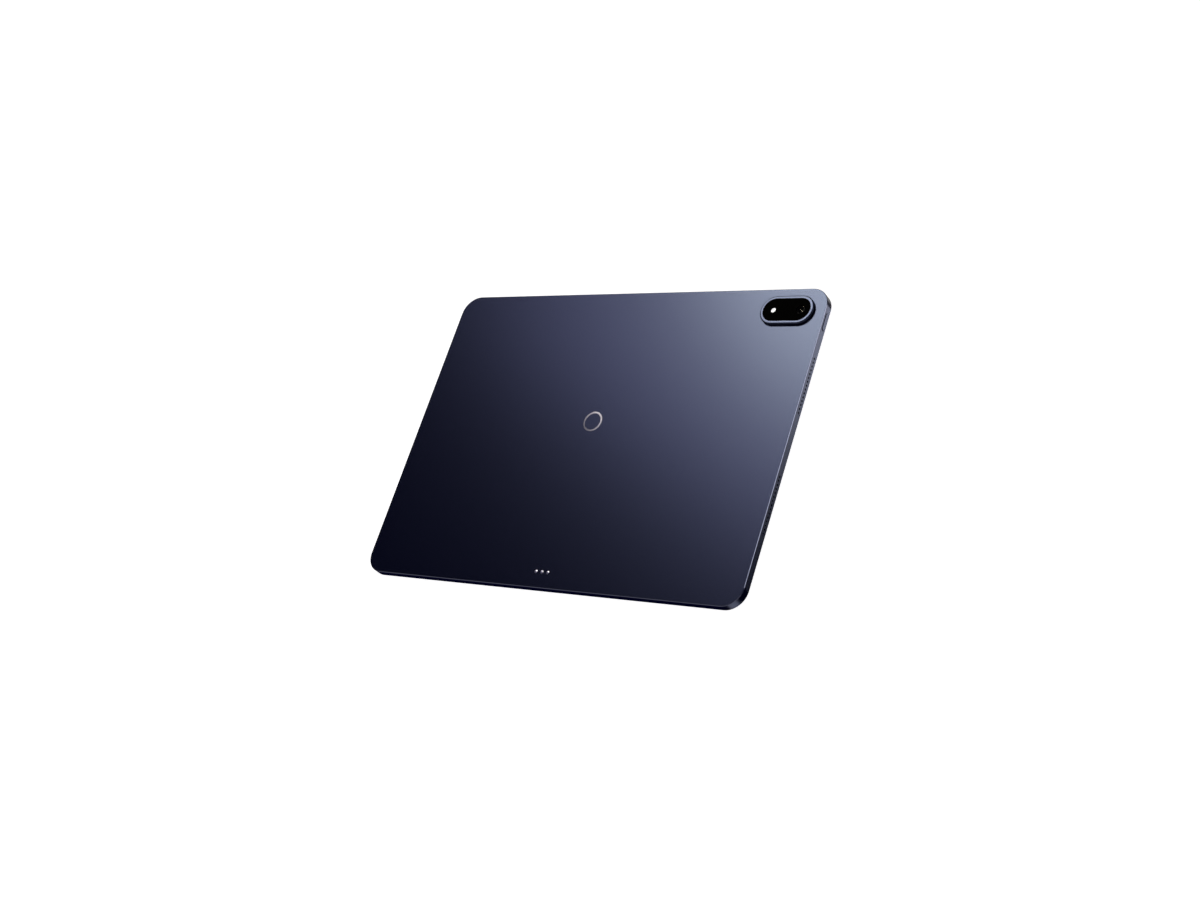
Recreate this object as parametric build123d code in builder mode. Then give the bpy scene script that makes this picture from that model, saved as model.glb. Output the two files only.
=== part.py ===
"""A thin metal tablet computer, lying on its front glass with its camera side up.

The origin is the middle of the front glass, on its outer face. +X runs along the long side
towards the camera end, +Y towards the long edge beside the camera, +Z out of the metal back.
All lengths are millimetres.
"""

from build123d import *
import os

os.makedirs("parts", exist_ok=True)

# ---------------------------------------------------------------- driving dimensions
LENGTH = 289.6
WIDTH = 209.7
THICKNESS = 6.0
CORNER_RADIUS = 12.9
BACK_CHAMFER = 0.45
FRONT_CHAMFER = 0.15

# The housing: a tray milled from one plate.
METAL_FRONT = 0.15  # the glass stands this much proud of the metal rim
RIM = 0.9  # metal left outside the glass
WALL = 2.2
LEDGE = 0.9  # height of the step that the glass gasket sits on
FLOOR = 5.2  # inside face of the back panel
SIDE_AXIS = 3.0  # height of the buttons, grilles and port
BOSS_RADIUS = 1.6
SCREW_HOLE_RADIUS = 0.55

# The display, from the front glass inwards.
GLASS_GAP = 0.05
GLASS_TOP = 0.5
ADHESIVE_TOP = 0.6
CELL_TOP = 1.05
FILM_TOP = 1.2
GUIDE_TOP = 1.6
REFLECTOR_TOP = 1.68
TRAY_TOP = 1.83
TRAY_WALL = 0.2
PICTURE_LENGTH = 272.8
PICTURE_WIDTH = 194.9
STACK_LENGTH = PICTURE_LENGTH + 1.0
STACK_LOW = -PICTURE_WIDTH / 2 - 3.0
STACK_HIGH = PICTURE_WIDTH / 2 + 0.5
STACK_WIDTH = STACK_HIGH - STACK_LOW
STACK_CENTRE = (0, (STACK_HIGH + STACK_LOW) / 2)
STRIP_WIDTH = 2.0  # light bar along the lower edge of the light guide

# The camera bump.
BUMP_CENTRE = (118.7, 89.0)
BUMP_LENGTH = 37.2
BUMP_WIDTH = 20.0
BUMP_TOP = 8.0
BUMP_CHAMFER = 0.35
BUMP_RIM = 2.05
NECK_STEP = 1.8  # the neck through the back panel is this much smaller all round
NECK_WALL = 1.0
WINDOW_BOTTOM = 7.0
WINDOW_TOP = 7.8
BEZEL_BOTTOM = 6.2
LENS_CENTRE = (128.4, 89.0)
FLASH_CENTRE = (109.3, 89.0)
FLASH_RADIUS = 2.0

# Back details.
EMBLEM_CENTRE = (0, 10.0)
EMBLEM_RADIUS = 7.0
EMBLEM_BAND = 1.2
EMBLEM_DEPTH = 0.3
CONTACT_CENTRE = (0, -94.3)
CONTACT_PITCH = 4.6
CONTACT_RADIUS = 1.13
CONTACT_COLLAR = 0.25

# Side details.
GRILLE_HOLES = 15
GRILLE_PITCH = 2.6
GRILLE_HOLE_RADIUS = 0.65
GRILLE_CENTRE = 39.2  # distance of each grille's middle from the long centre line
BUTTON_HEIGHT = 2.4
BUTTON_PROUD = 0.3
BUTTON_GAP = 0.15
POWER_Y = 82.5
POWER_LENGTH = 11.5
POWER_TRAVEL = 0.25
ROCKER_X = 108.0
ROCKER_LENGTH = 24.0
PORT_LENGTH = 8.94
PORT_HEIGHT = 3.16
PORT_DEPTH = 7.2
PORT_GAP = 0.12
MICROPHONE_X = (-62.0, 62.0)
MICROPHONE_HOLE_RADIUS = 0.4

# The inside.
BOARD_BOTTOM = 2.4
BOARD_TOP = 3.2
CELL_SIZE = (105.0, 124.0)
CELL_CENTRES = {"left": (-64.4, -16.0), "right": (42.4, -16.0)}
CELL_BOTTOM = 2.5
CELL_BACK = 5.1
SPEAKER_LENGTH = 48.0
SPEAKER_DEPTH = 20.0
SPEAKER_BOTTOM = 2.0
SPEAKER_TOP = 5.1
MESH_THICKNESS = 0.2
BOARD_SCREWS = ((100.5, -62), (108, 72), (121, 10.6), (121, -10.6), (138, 10.6), (138, -10.6))
PORT_SCREWS = ((-121, 11), (-121, -11))
CAMERA_SCREWS = ((122.5, 77), (136.5, 77))

# ---------------------------------------------------------------- planes of the side walls
RIGHT_WALL = Plane(origin=(LENGTH / 2, 0, SIDE_AXIS), x_dir=(0, 1, 0), z_dir=(1, 0, 0))
LEFT_WALL = Plane(origin=(-LENGTH / 2, 0, SIDE_AXIS), x_dir=(0, -1, 0), z_dir=(-1, 0, 0))
TOP_WALL = Plane(origin=(0, WIDTH / 2, SIDE_AXIS), x_dir=(-1, 0, 0), z_dir=(0, 1, 0))
GRILLES = {
    "right_upper": (RIGHT_WALL, GRILLE_CENTRE),
    "right_lower": (RIGHT_WALL, -GRILLE_CENTRE),
    "left_upper": (LEFT_WALL, -GRILLE_CENTRE),
    "left_lower": (LEFT_WALL, GRILLE_CENTRE),
}

pieces = {}


def inset(distance, mode=Mode.ADD):
    """The tablet's outline, moved in from its side walls."""
    length = LENGTH - 2 * distance
    return RectangleRounded(length, WIDTH - 2 * distance, CORNER_RADIUS - distance, mode=mode)


def blocks(size, bottom, top, centres, corner=0.3):
    """The same flat block at several places, as separate solids, between two heights."""
    with BuildPart() as piece:
        with BuildSketch(Plane.XY.offset(bottom)):
            with Locations(*centres):
                RectangleRounded(*size, corner)
        extrude(amount=top - bottom)
    return piece


def sheet(size, bottom, top, centre=(0, 0), corner=0.4):
    """One flat sheet with rounded corners, lying between two heights."""
    return blocks(size, bottom, top, [centre], corner)


# ---------------------------------------------------------------- housing
with BuildPart() as rear_housing:
    with BuildSketch(Plane.XY.offset(METAL_FRONT)):
        inset(0)
    extrude(amount=THICKNESS - METAL_FRONT)
    chamfer(edges().group_by(Axis.Z)[-1], BACK_CHAMFER)
    chamfer(edges().group_by(Axis.Z)[0], FRONT_CHAMFER)
    with BuildSketch(Plane.XY.offset(METAL_FRONT)):
        inset(RIM)
    extrude(amount=LEDGE - METAL_FRONT, mode=Mode.SUBTRACT)
    with BuildSketch(Plane.XY.offset(LEDGE)):
        inset(WALL)
    extrude(amount=FLOOR - LEDGE, mode=Mode.SUBTRACT)
    with BuildSketch(Plane.XY.offset(BOARD_TOP)):
        with Locations(*BOARD_SCREWS, *PORT_SCREWS, *CAMERA_SCREWS):
            Circle(BOSS_RADIUS)
    extrude(amount=FLOOR - BOARD_TOP)
    with BuildSketch(Plane.XY.offset(BOARD_TOP)):
        with Locations(*BOARD_SCREWS, *PORT_SCREWS, *CAMERA_SCREWS):
            Circle(SCREW_HOLE_RADIUS)
    extrude(amount=FLOOR - BOARD_TOP, mode=Mode.SUBTRACT)
    # The camera neck, the keyboard contacts and the emblem groove open through the back panel.
    with BuildSketch(Plane.XY.offset(FLOOR)):
        with Locations(BUMP_CENTRE):
            SlotOverall(BUMP_LENGTH - 2 * NECK_STEP + 0.4, BUMP_WIDTH - 2 * NECK_STEP + 0.4)
        with Locations(CONTACT_CENTRE):
            with GridLocations(CONTACT_PITCH, 0, 3, 1):
                Circle(CONTACT_RADIUS + CONTACT_COLLAR)
    extrude(amount=THICKNESS - FLOOR, mode=Mode.SUBTRACT)
    with BuildSketch(Plane.XY.offset(THICKNESS)):
        with Locations(EMBLEM_CENTRE):
            Circle(EMBLEM_RADIUS)
            Circle(EMBLEM_RADIUS - EMBLEM_BAND, mode=Mode.SUBTRACT)
    extrude(amount=-EMBLEM_DEPTH, mode=Mode.SUBTRACT)
    # Side openings: speaker grilles, port, buttons and microphones.
    for wall, middle in GRILLES.values():
        with BuildSketch(wall):
            with Locations((middle, 0)):
                with GridLocations(GRILLE_PITCH, 0, GRILLE_HOLES, 1):
                    Circle(GRILLE_HOLE_RADIUS)
        extrude(amount=-WALL - 0.1, mode=Mode.SUBTRACT)
    with BuildSketch(LEFT_WALL):
        SlotOverall(PORT_LENGTH + 2 * PORT_GAP, PORT_HEIGHT + 2 * PORT_GAP)
    extrude(amount=-WALL - 0.1, mode=Mode.SUBTRACT)
    with BuildSketch(RIGHT_WALL):
        with Locations((POWER_Y, 0)):
            SlotOverall(POWER_LENGTH + 2 * BUTTON_GAP, BUTTON_HEIGHT + 2 * BUTTON_GAP)
    extrude(amount=-WALL - 0.1, mode=Mode.SUBTRACT)
    with BuildSketch(TOP_WALL):
        with Locations((-ROCKER_X, 0)):
            SlotOverall(ROCKER_LENGTH + 2 * BUTTON_GAP, BUTTON_HEIGHT + 2 * BUTTON_GAP)
        with Locations(*[(-x, 0) for x in MICROPHONE_X]):
            Circle(MICROPHONE_HOLE_RADIUS)
    extrude(amount=-WALL - 0.1, mode=Mode.SUBTRACT)
pieces["rear_housing"] = rear_housing

with BuildPart() as emblem_ring:
    with BuildSketch(Plane.XY.offset(THICKNESS - EMBLEM_DEPTH)):
        with Locations(EMBLEM_CENTRE):
            Circle(EMBLEM_RADIUS - 0.02)
            Circle(EMBLEM_RADIUS - EMBLEM_BAND + 0.02, mode=Mode.SUBTRACT)
    extrude(amount=EMBLEM_DEPTH)
pieces["emblem_ring"] = emblem_ring

# ---------------------------------------------------------------- keyboard contacts
CONTACT_BAR_BOTTOM = 4.3
with BuildPart() as contact_insulator:
    with BuildSketch(Plane.XY.offset(CONTACT_BAR_BOTTOM)):
        with Locations(CONTACT_CENTRE):
            SlotOverall(17.0, 4.6)
    extrude(amount=FLOOR - CONTACT_BAR_BOTTOM)
    with BuildSketch(Plane.XY.offset(FLOOR)):
        with Locations(CONTACT_CENTRE):
            with GridLocations(CONTACT_PITCH, 0, 3, 1):
                Circle(CONTACT_RADIUS + CONTACT_COLLAR - 0.02)
    extrude(amount=THICKNESS - FLOOR - 0.03)
    with BuildSketch(Plane.XY.offset(THICKNESS)):
        with Locations(CONTACT_CENTRE):
            with GridLocations(CONTACT_PITCH, 0, 3, 1):
                Circle(CONTACT_RADIUS + 0.02)
    extrude(amount=CONTACT_BAR_BOTTOM - THICKNESS, mode=Mode.SUBTRACT)
pieces["contact_insulator"] = contact_insulator

with BuildPart() as keyboard_contacts:
    with BuildSketch(Plane.XY.offset(CONTACT_BAR_BOTTOM)):
        with Locations(CONTACT_CENTRE):
            with GridLocations(CONTACT_PITCH, 0, 3, 1):
                Circle(CONTACT_RADIUS)
    extrude(amount=THICKNESS + 0.1 - CONTACT_BAR_BOTTOM)
    fillet(edges().group_by(Axis.Z)[-1], 0.25)
pieces["keyboard_contacts"] = keyboard_contacts

# ---------------------------------------------------------------- camera bump
with BuildPart() as camera_ring:
    with BuildSketch(Plane.XY.offset(THICKNESS)):
        with Locations(BUMP_CENTRE):
            SlotOverall(BUMP_LENGTH, BUMP_WIDTH)
    extrude(amount=BUMP_TOP - THICKNESS)
    chamfer(edges().group_by(Axis.Z)[-1], BUMP_CHAMFER)
    with BuildSketch(Plane.XY.offset(FLOOR)):
        with Locations(BUMP_CENTRE):
            SlotOverall(BUMP_LENGTH - 2 * NECK_STEP, BUMP_WIDTH - 2 * NECK_STEP)
    extrude(amount=THICKNESS - FLOOR)
    with BuildSketch(Plane.XY.offset(FLOOR)):
        with Locations(BUMP_CENTRE):
            SlotOverall(
                BUMP_LENGTH - 2 * (NECK_STEP + NECK_WALL), BUMP_WIDTH - 2 * (NECK_STEP + NECK_WALL)
            )
    extrude(amount=BEZEL_BOTTOM - FLOOR, mode=Mode.SUBTRACT)
    with BuildSketch(Plane.XY.offset(WINDOW_BOTTOM)):
        with Locations(BUMP_CENTRE):
            SlotOverall(BUMP_LENGTH - 2 * BUMP_RIM, BUMP_WIDTH - 2 * BUMP_RIM)
    extrude(amount=BUMP_TOP - WINDOW_BOTTOM, mode=Mode.SUBTRACT)
    with BuildSketch(Plane.XY.offset(BEZEL_BOTTOM)):
        with Locations(LENS_CENTRE):
            Circle(4.1)
        with Locations(FLASH_CENTRE):
            Circle(FLASH_RADIUS + 0.05)
    extrude(amount=WINDOW_BOTTOM - BEZEL_BOTTOM, mode=Mode.SUBTRACT)
pieces["camera_ring"] = camera_ring

with BuildPart() as camera_window:
    with BuildSketch(Plane.XY.offset(WINDOW_BOTTOM)):
        with Locations(BUMP_CENTRE):
            SlotOverall(
                BUMP_LENGTH - 2 * (BUMP_RIM + GLASS_GAP), BUMP_WIDTH - 2 * (BUMP_RIM + GLASS_GAP)
            )
    extrude(amount=WINDOW_TOP - WINDOW_BOTTOM)
    chamfer(edges().group_by(Axis.Z)[-1], 0.1)
pieces["camera_window"] = camera_window

with BuildPart() as flash_diffuser:
    with BuildSketch(Plane.XY.offset(BEZEL_BOTTOM)):
        with Locations(FLASH_CENTRE):
            Circle(FLASH_RADIUS)
    extrude(amount=WINDOW_BOTTOM - BEZEL_BOTTOM)
pieces["flash_diffuser"] = flash_diffuser

FLASH_BOARD_BOTTOM = 4.4
FLASH_BOARD_TOP = 4.9
FLASH_LED_TOP = 5.7
with BuildPart() as flash_board:
    with BuildSketch(Plane.XY.offset(FLASH_BOARD_BOTTOM)):
        with Locations(FLASH_CENTRE):
            RectangleRounded(8.0, 7.0, 0.5)
    extrude(amount=FLASH_BOARD_TOP - FLASH_BOARD_BOTTOM)
    with BuildSketch(Plane.XY.offset(FLASH_BOARD_TOP)):
        with Locations(FLASH_CENTRE):
            RectangleRounded(2.6, 2.6, 0.2)
    extrude(amount=FLASH_LED_TOP - FLASH_BOARD_TOP)
pieces["flash_board"] = flash_board

# ---------------------------------------------------------------- rear camera module
CAMERA_BOARD_BOTTOM = 2.0
CAMERA_BOARD_TOP = 2.5
CAMERA_SIZE = 9.0
CAMERA_TOP = 6.1
CARRIER_BOTTOM = 3.4
CARRIER_TOP = 6.4
CARRIER_RADIUS = 3.3
LENS_RADIUS = 2.5
pieces["rear_camera_board"] = sheet(
    (10.4, 14.0), CAMERA_BOARD_BOTTOM, CAMERA_BOARD_TOP, (LENS_CENTRE[0], LENS_CENTRE[1] - 1.5)
)
pieces["rear_camera_sensor"] = sheet((6.4, 5.2), CAMERA_BOARD_TOP, 3.0, LENS_CENTRE, 0.1)

with BuildPart() as rear_camera_housing:
    with BuildSketch(Plane.XY.offset(CAMERA_BOARD_TOP)):
        with Locations(LENS_CENTRE):
            RectangleRounded(CAMERA_SIZE, CAMERA_SIZE, 0.8)
    extrude(amount=CAMERA_TOP - CAMERA_BOARD_TOP)
    with BuildSketch(Plane.XY.offset(CAMERA_BOARD_TOP)):
        with Locations(LENS_CENTRE):
            RectangleRounded(CAMERA_SIZE - 1.2, CAMERA_SIZE - 1.2, 0.3)
    extrude(amount=3.2, mode=Mode.SUBTRACT)
    with BuildSketch(Plane.XY.offset(CAMERA_BOARD_TOP)):
        with Locations(LENS_CENTRE):
            Circle(CARRIER_RADIUS + 0.35)
    extrude(amount=CAMERA_TOP - CAMERA_BOARD_TOP, mode=Mode.SUBTRACT)
pieces["rear_camera_housing"] = rear_camera_housing

# The carrier is turned: a barrel with a stop lip above the glass elements.
with BuildPart() as rear_camera_lens_carrier:
    with BuildSketch(Plane.XY.offset(CARRIER_BOTTOM)):
        with Locations(LENS_CENTRE):
            Circle(CARRIER_RADIUS)
            Circle(LENS_RADIUS + 0.02, mode=Mode.SUBTRACT)
    extrude(amount=CARRIER_TOP - CARRIER_BOTTOM)
    with BuildSketch(Plane.XY.offset(CARRIER_TOP - 0.3)):
        with Locations(LENS_CENTRE):
            Circle(LENS_RADIUS + 0.02)
            Circle(LENS_RADIUS - 0.4, mode=Mode.SUBTRACT)
    extrude(amount=0.3)
    chamfer(edges().group_by(Axis.Z)[-1].sort_by(Edge.length)[-1], 0.2)
pieces["rear_camera_lens_carrier"] = rear_camera_lens_carrier

with BuildPart() as rear_camera_lenses:
    with BuildSketch(Plane.XY.offset(5.2)):
        with Locations(LENS_CENTRE):
            Circle(LENS_RADIUS)
    extrude(amount=0.5)
    with BuildSketch(Plane.XY.offset(4.0)):
        with Locations(LENS_CENTRE):
            Circle(LENS_RADIUS)
    extrude(amount=0.7)
pieces["rear_camera_lenses"] = rear_camera_lenses

# ---------------------------------------------------------------- display
with BuildPart() as cover_glass:
    with BuildSketch():
        inset(RIM + GLASS_GAP)
    extrude(amount=GLASS_TOP)
    chamfer(edges().group_by(Axis.Z)[0], 0.12)
pieces["cover_glass"] = cover_glass

with BuildPart() as display_gasket:
    with BuildSketch(Plane.XY.offset(GLASS_TOP)):
        inset(RIM + GLASS_GAP)
        inset(WALL - 0.05, mode=Mode.SUBTRACT)
    extrude(amount=LEDGE - GLASS_TOP)
pieces["display_gasket"] = display_gasket

STACK_SIZE = (STACK_LENGTH, STACK_WIDTH)
GUIDE_SIZE = (STACK_LENGTH, STACK_WIDTH - STRIP_WIDTH - 0.1)
GUIDE_CENTRE = (0, STACK_CENTRE[1] + (STRIP_WIDTH + 0.1) / 2)
STRIP_CENTRE = (0, STACK_LOW + STRIP_WIDTH / 2)
pieces["optical_adhesive"] = sheet(STACK_SIZE, GLASS_TOP, ADHESIVE_TOP, STACK_CENTRE)
pieces["lcd_cell"] = sheet(STACK_SIZE, ADHESIVE_TOP, CELL_TOP, STACK_CENTRE)
pieces["optical_film_stack"] = sheet(STACK_SIZE, CELL_TOP, FILM_TOP, STACK_CENTRE)
pieces["light_guide_plate"] = sheet(GUIDE_SIZE, FILM_TOP, GUIDE_TOP, GUIDE_CENTRE)
pieces["reflector_sheet"] = sheet(GUIDE_SIZE, GUIDE_TOP, REFLECTOR_TOP, GUIDE_CENTRE)
pieces["backlight_led_strip"] = sheet(
    (STACK_LENGTH - 6, STRIP_WIDTH), FILM_TOP, REFLECTOR_TOP, STRIP_CENTRE
)

TRAY_INNER = (STACK_LENGTH + 0.1, STACK_WIDTH + 0.1)
with BuildPart() as backlight_tray:
    with BuildSketch(Plane.XY.offset(ADHESIVE_TOP)):
        with Locations(STACK_CENTRE):
            RectangleRounded(TRAY_INNER[0] + 2 * TRAY_WALL, TRAY_INNER[1] + 2 * TRAY_WALL, 0.8)
    extrude(amount=TRAY_TOP - ADHESIVE_TOP)
    with BuildSketch(Plane.XY.offset(ADHESIVE_TOP)):
        with Locations(STACK_CENTRE):
            RectangleRounded(*TRAY_INNER, 0.4)
    extrude(amount=REFLECTOR_TOP - ADHESIVE_TOP, mode=Mode.SUBTRACT)
pieces["backlight_tray"] = backlight_tray

# ---------------------------------------------------------------- front camera and light sensor
FRONT_CAMERA_CENTRE = (0, 100.3)
FRONT_CAMERA_SIZE = 4.0
FRONT_BARREL_RADIUS = 1.5
FRONT_LENS_RADIUS = 0.9
with BuildPart() as front_camera_housing:
    with BuildSketch(Plane.XY.offset(LEDGE)):
        with Locations(FRONT_CAMERA_CENTRE):
            RectangleRounded(FRONT_CAMERA_SIZE, FRONT_CAMERA_SIZE, 0.5)
    extrude(amount=3.2)
    with BuildSketch(Plane.XY.offset(GLASS_TOP + 0.1)):
        with Locations(FRONT_CAMERA_CENTRE):
            Circle(FRONT_BARREL_RADIUS)
    extrude(amount=LEDGE - GLASS_TOP - 0.1)
    with BuildSketch(Plane.XY.offset(GLASS_TOP + 0.1)):
        with Locations(FRONT_CAMERA_CENTRE):
            Circle(FRONT_LENS_RADIUS + 0.02)
    extrude(amount=0.8, mode=Mode.SUBTRACT)
pieces["front_camera_housing"] = front_camera_housing

with BuildPart() as front_camera_lens:
    with BuildSketch(Plane.XY.offset(GLASS_TOP + 0.15)):
        with Locations(FRONT_CAMERA_CENTRE):
            Circle(FRONT_LENS_RADIUS)
    extrude(amount=0.7)
pieces["front_camera_lens"] = front_camera_lens
pieces["ambient_light_sensor"] = sheet((2.2, 1.4), 0.6, 1.3, (-12.0, 100.3), 0.2)

# ---------------------------------------------------------------- batteries
for side, centre in CELL_CENTRES.items():
    with BuildPart() as battery_cell:
        with BuildSketch(Plane.XY.offset(CELL_BOTTOM)):
            with Locations(centre):
                RectangleRounded(*CELL_SIZE, 2.0)
        extrude(amount=CELL_BACK - CELL_BOTTOM)
        fillet(edges().group_by(Axis.Z)[0], 0.8)
        fillet(edges().group_by(Axis.Z)[-1], 0.8)
        # The folded seam that carries the tabs out of the pouch.
        with BuildSketch(Plane.XY.offset(CELL_BOTTOM + 0.8)):
            with Locations((centre[0], centre[1] + CELL_SIZE[1] / 2 + 1.4)):
                Rectangle(CELL_SIZE[0] - 8, 2.8)
        extrude(amount=0.6)
    pieces[f"battery_cell_{side}"] = battery_cell

ADHESIVE_STRIPS = [(x + dx, y) for x, y in CELL_CENTRES.values() for dx in (-36, 0, 36)]
pieces["battery_adhesive"] = blocks((12, 108), CELL_BACK, FLOOR, ADHESIVE_STRIPS)
pieces["battery_protection_board"] = sheet((150, 7.0), 2.9, 3.5, (-11, 53.2))

# ---------------------------------------------------------------- main board
with BuildPart() as main_board:
    with BuildSketch(Plane.XY.offset(BOARD_BOTTOM)):
        with Locations((108, 5)):
            Rectangle(21, 143)
        with Locations((129, 0)):
            Rectangle(23, 26)
        fillet(vertices(), 1.0)
        with Locations(*BOARD_SCREWS):
            Circle(SCREW_HOLE_RADIUS, mode=Mode.SUBTRACT)
    extrude(amount=BOARD_TOP - BOARD_BOTTOM)
pieces["main_board"] = main_board

CHIP_TOP = 4.2
SUPPORT_CHIPS = ((104, 44), (112, 44), (104, 56), (112, 56), (129.5, 3.5), (129.5, -3.5))
pieces["processor"] = sheet((14, 14), BOARD_TOP, CHIP_TOP, (108, 22), 0.2)
pieces["memory_chips"] = blocks((11.5, 13), BOARD_TOP, CHIP_TOP, ((108, 3), (108, -15)), 0.2)
pieces["support_chips"] = blocks((6, 6), BOARD_TOP, 4.0, SUPPORT_CHIPS, 0.2)

SHIELD_TOP = 4.5
SHIELD_WALL = 0.2
SHIELDS = (((18, 56), (108, 4)), ((18, 28), (108, 50)), ((13, 16), (129.5, 0)))
with BuildPart() as shield_cans:
    for size, centre in SHIELDS:
        with BuildSketch(Plane.XY.offset(BOARD_TOP)):
            with Locations(centre):
                RectangleRounded(*size, 0.8)
        extrude(amount=SHIELD_TOP - BOARD_TOP)
        with BuildSketch(Plane.XY.offset(BOARD_TOP)):
            with Locations(centre):
                RectangleRounded(size[0] - 2 * SHIELD_WALL, size[1] - 2 * SHIELD_WALL, 0.6)
        extrude(amount=SHIELD_TOP - SHIELD_WALL - BOARD_TOP, mode=Mode.SUBTRACT)
pieces["shield_cans"] = shield_cans
pieces["thermal_pad"] = sheet((16, 40), SHIELD_TOP, FLOOR, (108, 8))

# Each screw is a low round head under the board and a shank in its boss.
SCREW_HEAD_RADIUS = 1.2
SCREW_SHANK_RADIUS = 0.5
with BuildPart() as board_screws:
    with BuildSketch(Plane.XY.offset(BOARD_BOTTOM - 0.4)):
        with Locations(*BOARD_SCREWS, *PORT_SCREWS, *CAMERA_SCREWS):
            Circle(SCREW_HEAD_RADIUS)
    extrude(amount=0.4)
    with BuildSketch(Plane.XY.offset(BOARD_BOTTOM)):
        with Locations(*BOARD_SCREWS, *PORT_SCREWS, *CAMERA_SCREWS):
            Circle(SCREW_SHANK_RADIUS)
    extrude(amount=2.2)
pieces["board_screws"] = board_screws

with BuildPart() as camera_bracket:
    with BuildSketch(Plane.XY.offset(BOARD_BOTTOM)):
        with Locations((129.5, 77)):
            Rectangle(18, 6)
        fillet(vertices(), 1.5)
        with Locations(*CAMERA_SCREWS):
            Circle(SCREW_HOLE_RADIUS, mode=Mode.SUBTRACT)
    extrude(amount=0.4)
pieces["camera_bracket"] = camera_bracket

# ---------------------------------------------------------------- port and its board
PORT_SHELL = 0.3
PORT_MOUTH = -LENGTH / 2 + 0.1
PORT_MOUTH_PLANE = Plane(origin=(PORT_MOUTH, 0, SIDE_AXIS), x_dir=(0, 1, 0), z_dir=(1, 0, 0))
with BuildPart() as usb_connector_shell:
    with BuildSketch(PORT_MOUTH_PLANE):
        SlotOverall(PORT_LENGTH, PORT_HEIGHT)
        SlotOverall(PORT_LENGTH - 2 * PORT_SHELL, PORT_HEIGHT - 2 * PORT_SHELL, mode=Mode.SUBTRACT)
    extrude(amount=PORT_DEPTH)
pieces["usb_connector_shell"] = usb_connector_shell

with BuildPart() as usb_connector_tongue:
    with BuildSketch(PORT_MOUTH_PLANE.offset(5.4)):
        SlotOverall(PORT_LENGTH - 2 * PORT_SHELL - 0.04, PORT_HEIGHT - 2 * PORT_SHELL - 0.04)
    extrude(amount=PORT_DEPTH - 5.4)
    with BuildSketch(PORT_MOUTH_PLANE.offset(0.9)):
        RectangleRounded(6.69, 0.7, 0.2)
    extrude(amount=4.5)
pieces["usb_connector_tongue"] = usb_connector_tongue

PORT_BOARD_INNER = -117.6
PORT_BOARD_OUTER = -142.3
PORT_NOTCH = PORT_MOUTH + PORT_DEPTH + 0.1 - PORT_BOARD_OUTER
with BuildPart() as usb_board:
    with BuildSketch(Plane.XY.offset(BOARD_BOTTOM)):
        with Locations(((PORT_BOARD_INNER + PORT_BOARD_OUTER) / 2, 0)):
            RectangleRounded(PORT_BOARD_INNER - PORT_BOARD_OUTER, 28, 1.0)
        with Locations((PORT_BOARD_OUTER, 0)):
            Rectangle(2 * PORT_NOTCH, PORT_LENGTH + 0.2, mode=Mode.SUBTRACT)
        with Locations(*PORT_SCREWS):
            Circle(SCREW_HOLE_RADIUS, mode=Mode.SUBTRACT)
    extrude(amount=BOARD_TOP - BOARD_BOTTOM)
pieces["usb_board"] = usb_board

FLEX_BOTTOM = 2.05
FLEX_TOP = 2.2
FLEX_CONNECTORS = ((-119.6, 0), (100.5, 0))
with BuildPart() as interconnect_flex:
    with BuildSketch(Plane.XY.offset(FLEX_BOTTOM)):
        with Locations((-9.5, 0)):
            RectangleRounded(226, 14, 2.0)
    extrude(amount=FLEX_TOP - FLEX_BOTTOM)
    with BuildSketch(Plane.XY.offset(FLEX_TOP)):
        with Locations(*FLEX_CONNECTORS):
            Rectangle(2.6, 11)
    extrude(amount=BOARD_BOTTOM - FLEX_TOP)
pieces["interconnect_flex"] = interconnect_flex

# The display flex folds round the lower edge of the backlight tray.
DISPLAY_FLEX_X = 110.5
DISPLAY_FLEX_WIDTH = 13
DISPLAY_FLEX_LOW = STACK_LOW - 1.3
DISPLAY_FLEX_HIGH = -48.0
with BuildPart() as display_flex:
    with BuildSketch(Plane.YZ.offset(DISPLAY_FLEX_X)):
        with BuildLine():
            Polyline(
                (STACK_LOW - 0.4, 0.7),
                (DISPLAY_FLEX_LOW, 0.7),
                (DISPLAY_FLEX_LOW, FLEX_TOP),
                (DISPLAY_FLEX_HIGH, FLEX_TOP),
                (DISPLAY_FLEX_HIGH, FLEX_BOTTOM),
                (DISPLAY_FLEX_LOW + 0.15, FLEX_BOTTOM),
                (DISPLAY_FLEX_LOW + 0.15, 0.85),
                (STACK_LOW - 0.4, 0.85),
                close=True,
            )
        make_face()
    extrude(amount=DISPLAY_FLEX_WIDTH / 2, both=True)
    with BuildSketch(Plane.XY.offset(FLEX_TOP)):
        with Locations((DISPLAY_FLEX_X, DISPLAY_FLEX_HIGH - 4)):
            Rectangle(11, 3)
    extrude(amount=BOARD_BOTTOM - FLEX_TOP)
pieces["display_flex"] = display_flex

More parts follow.
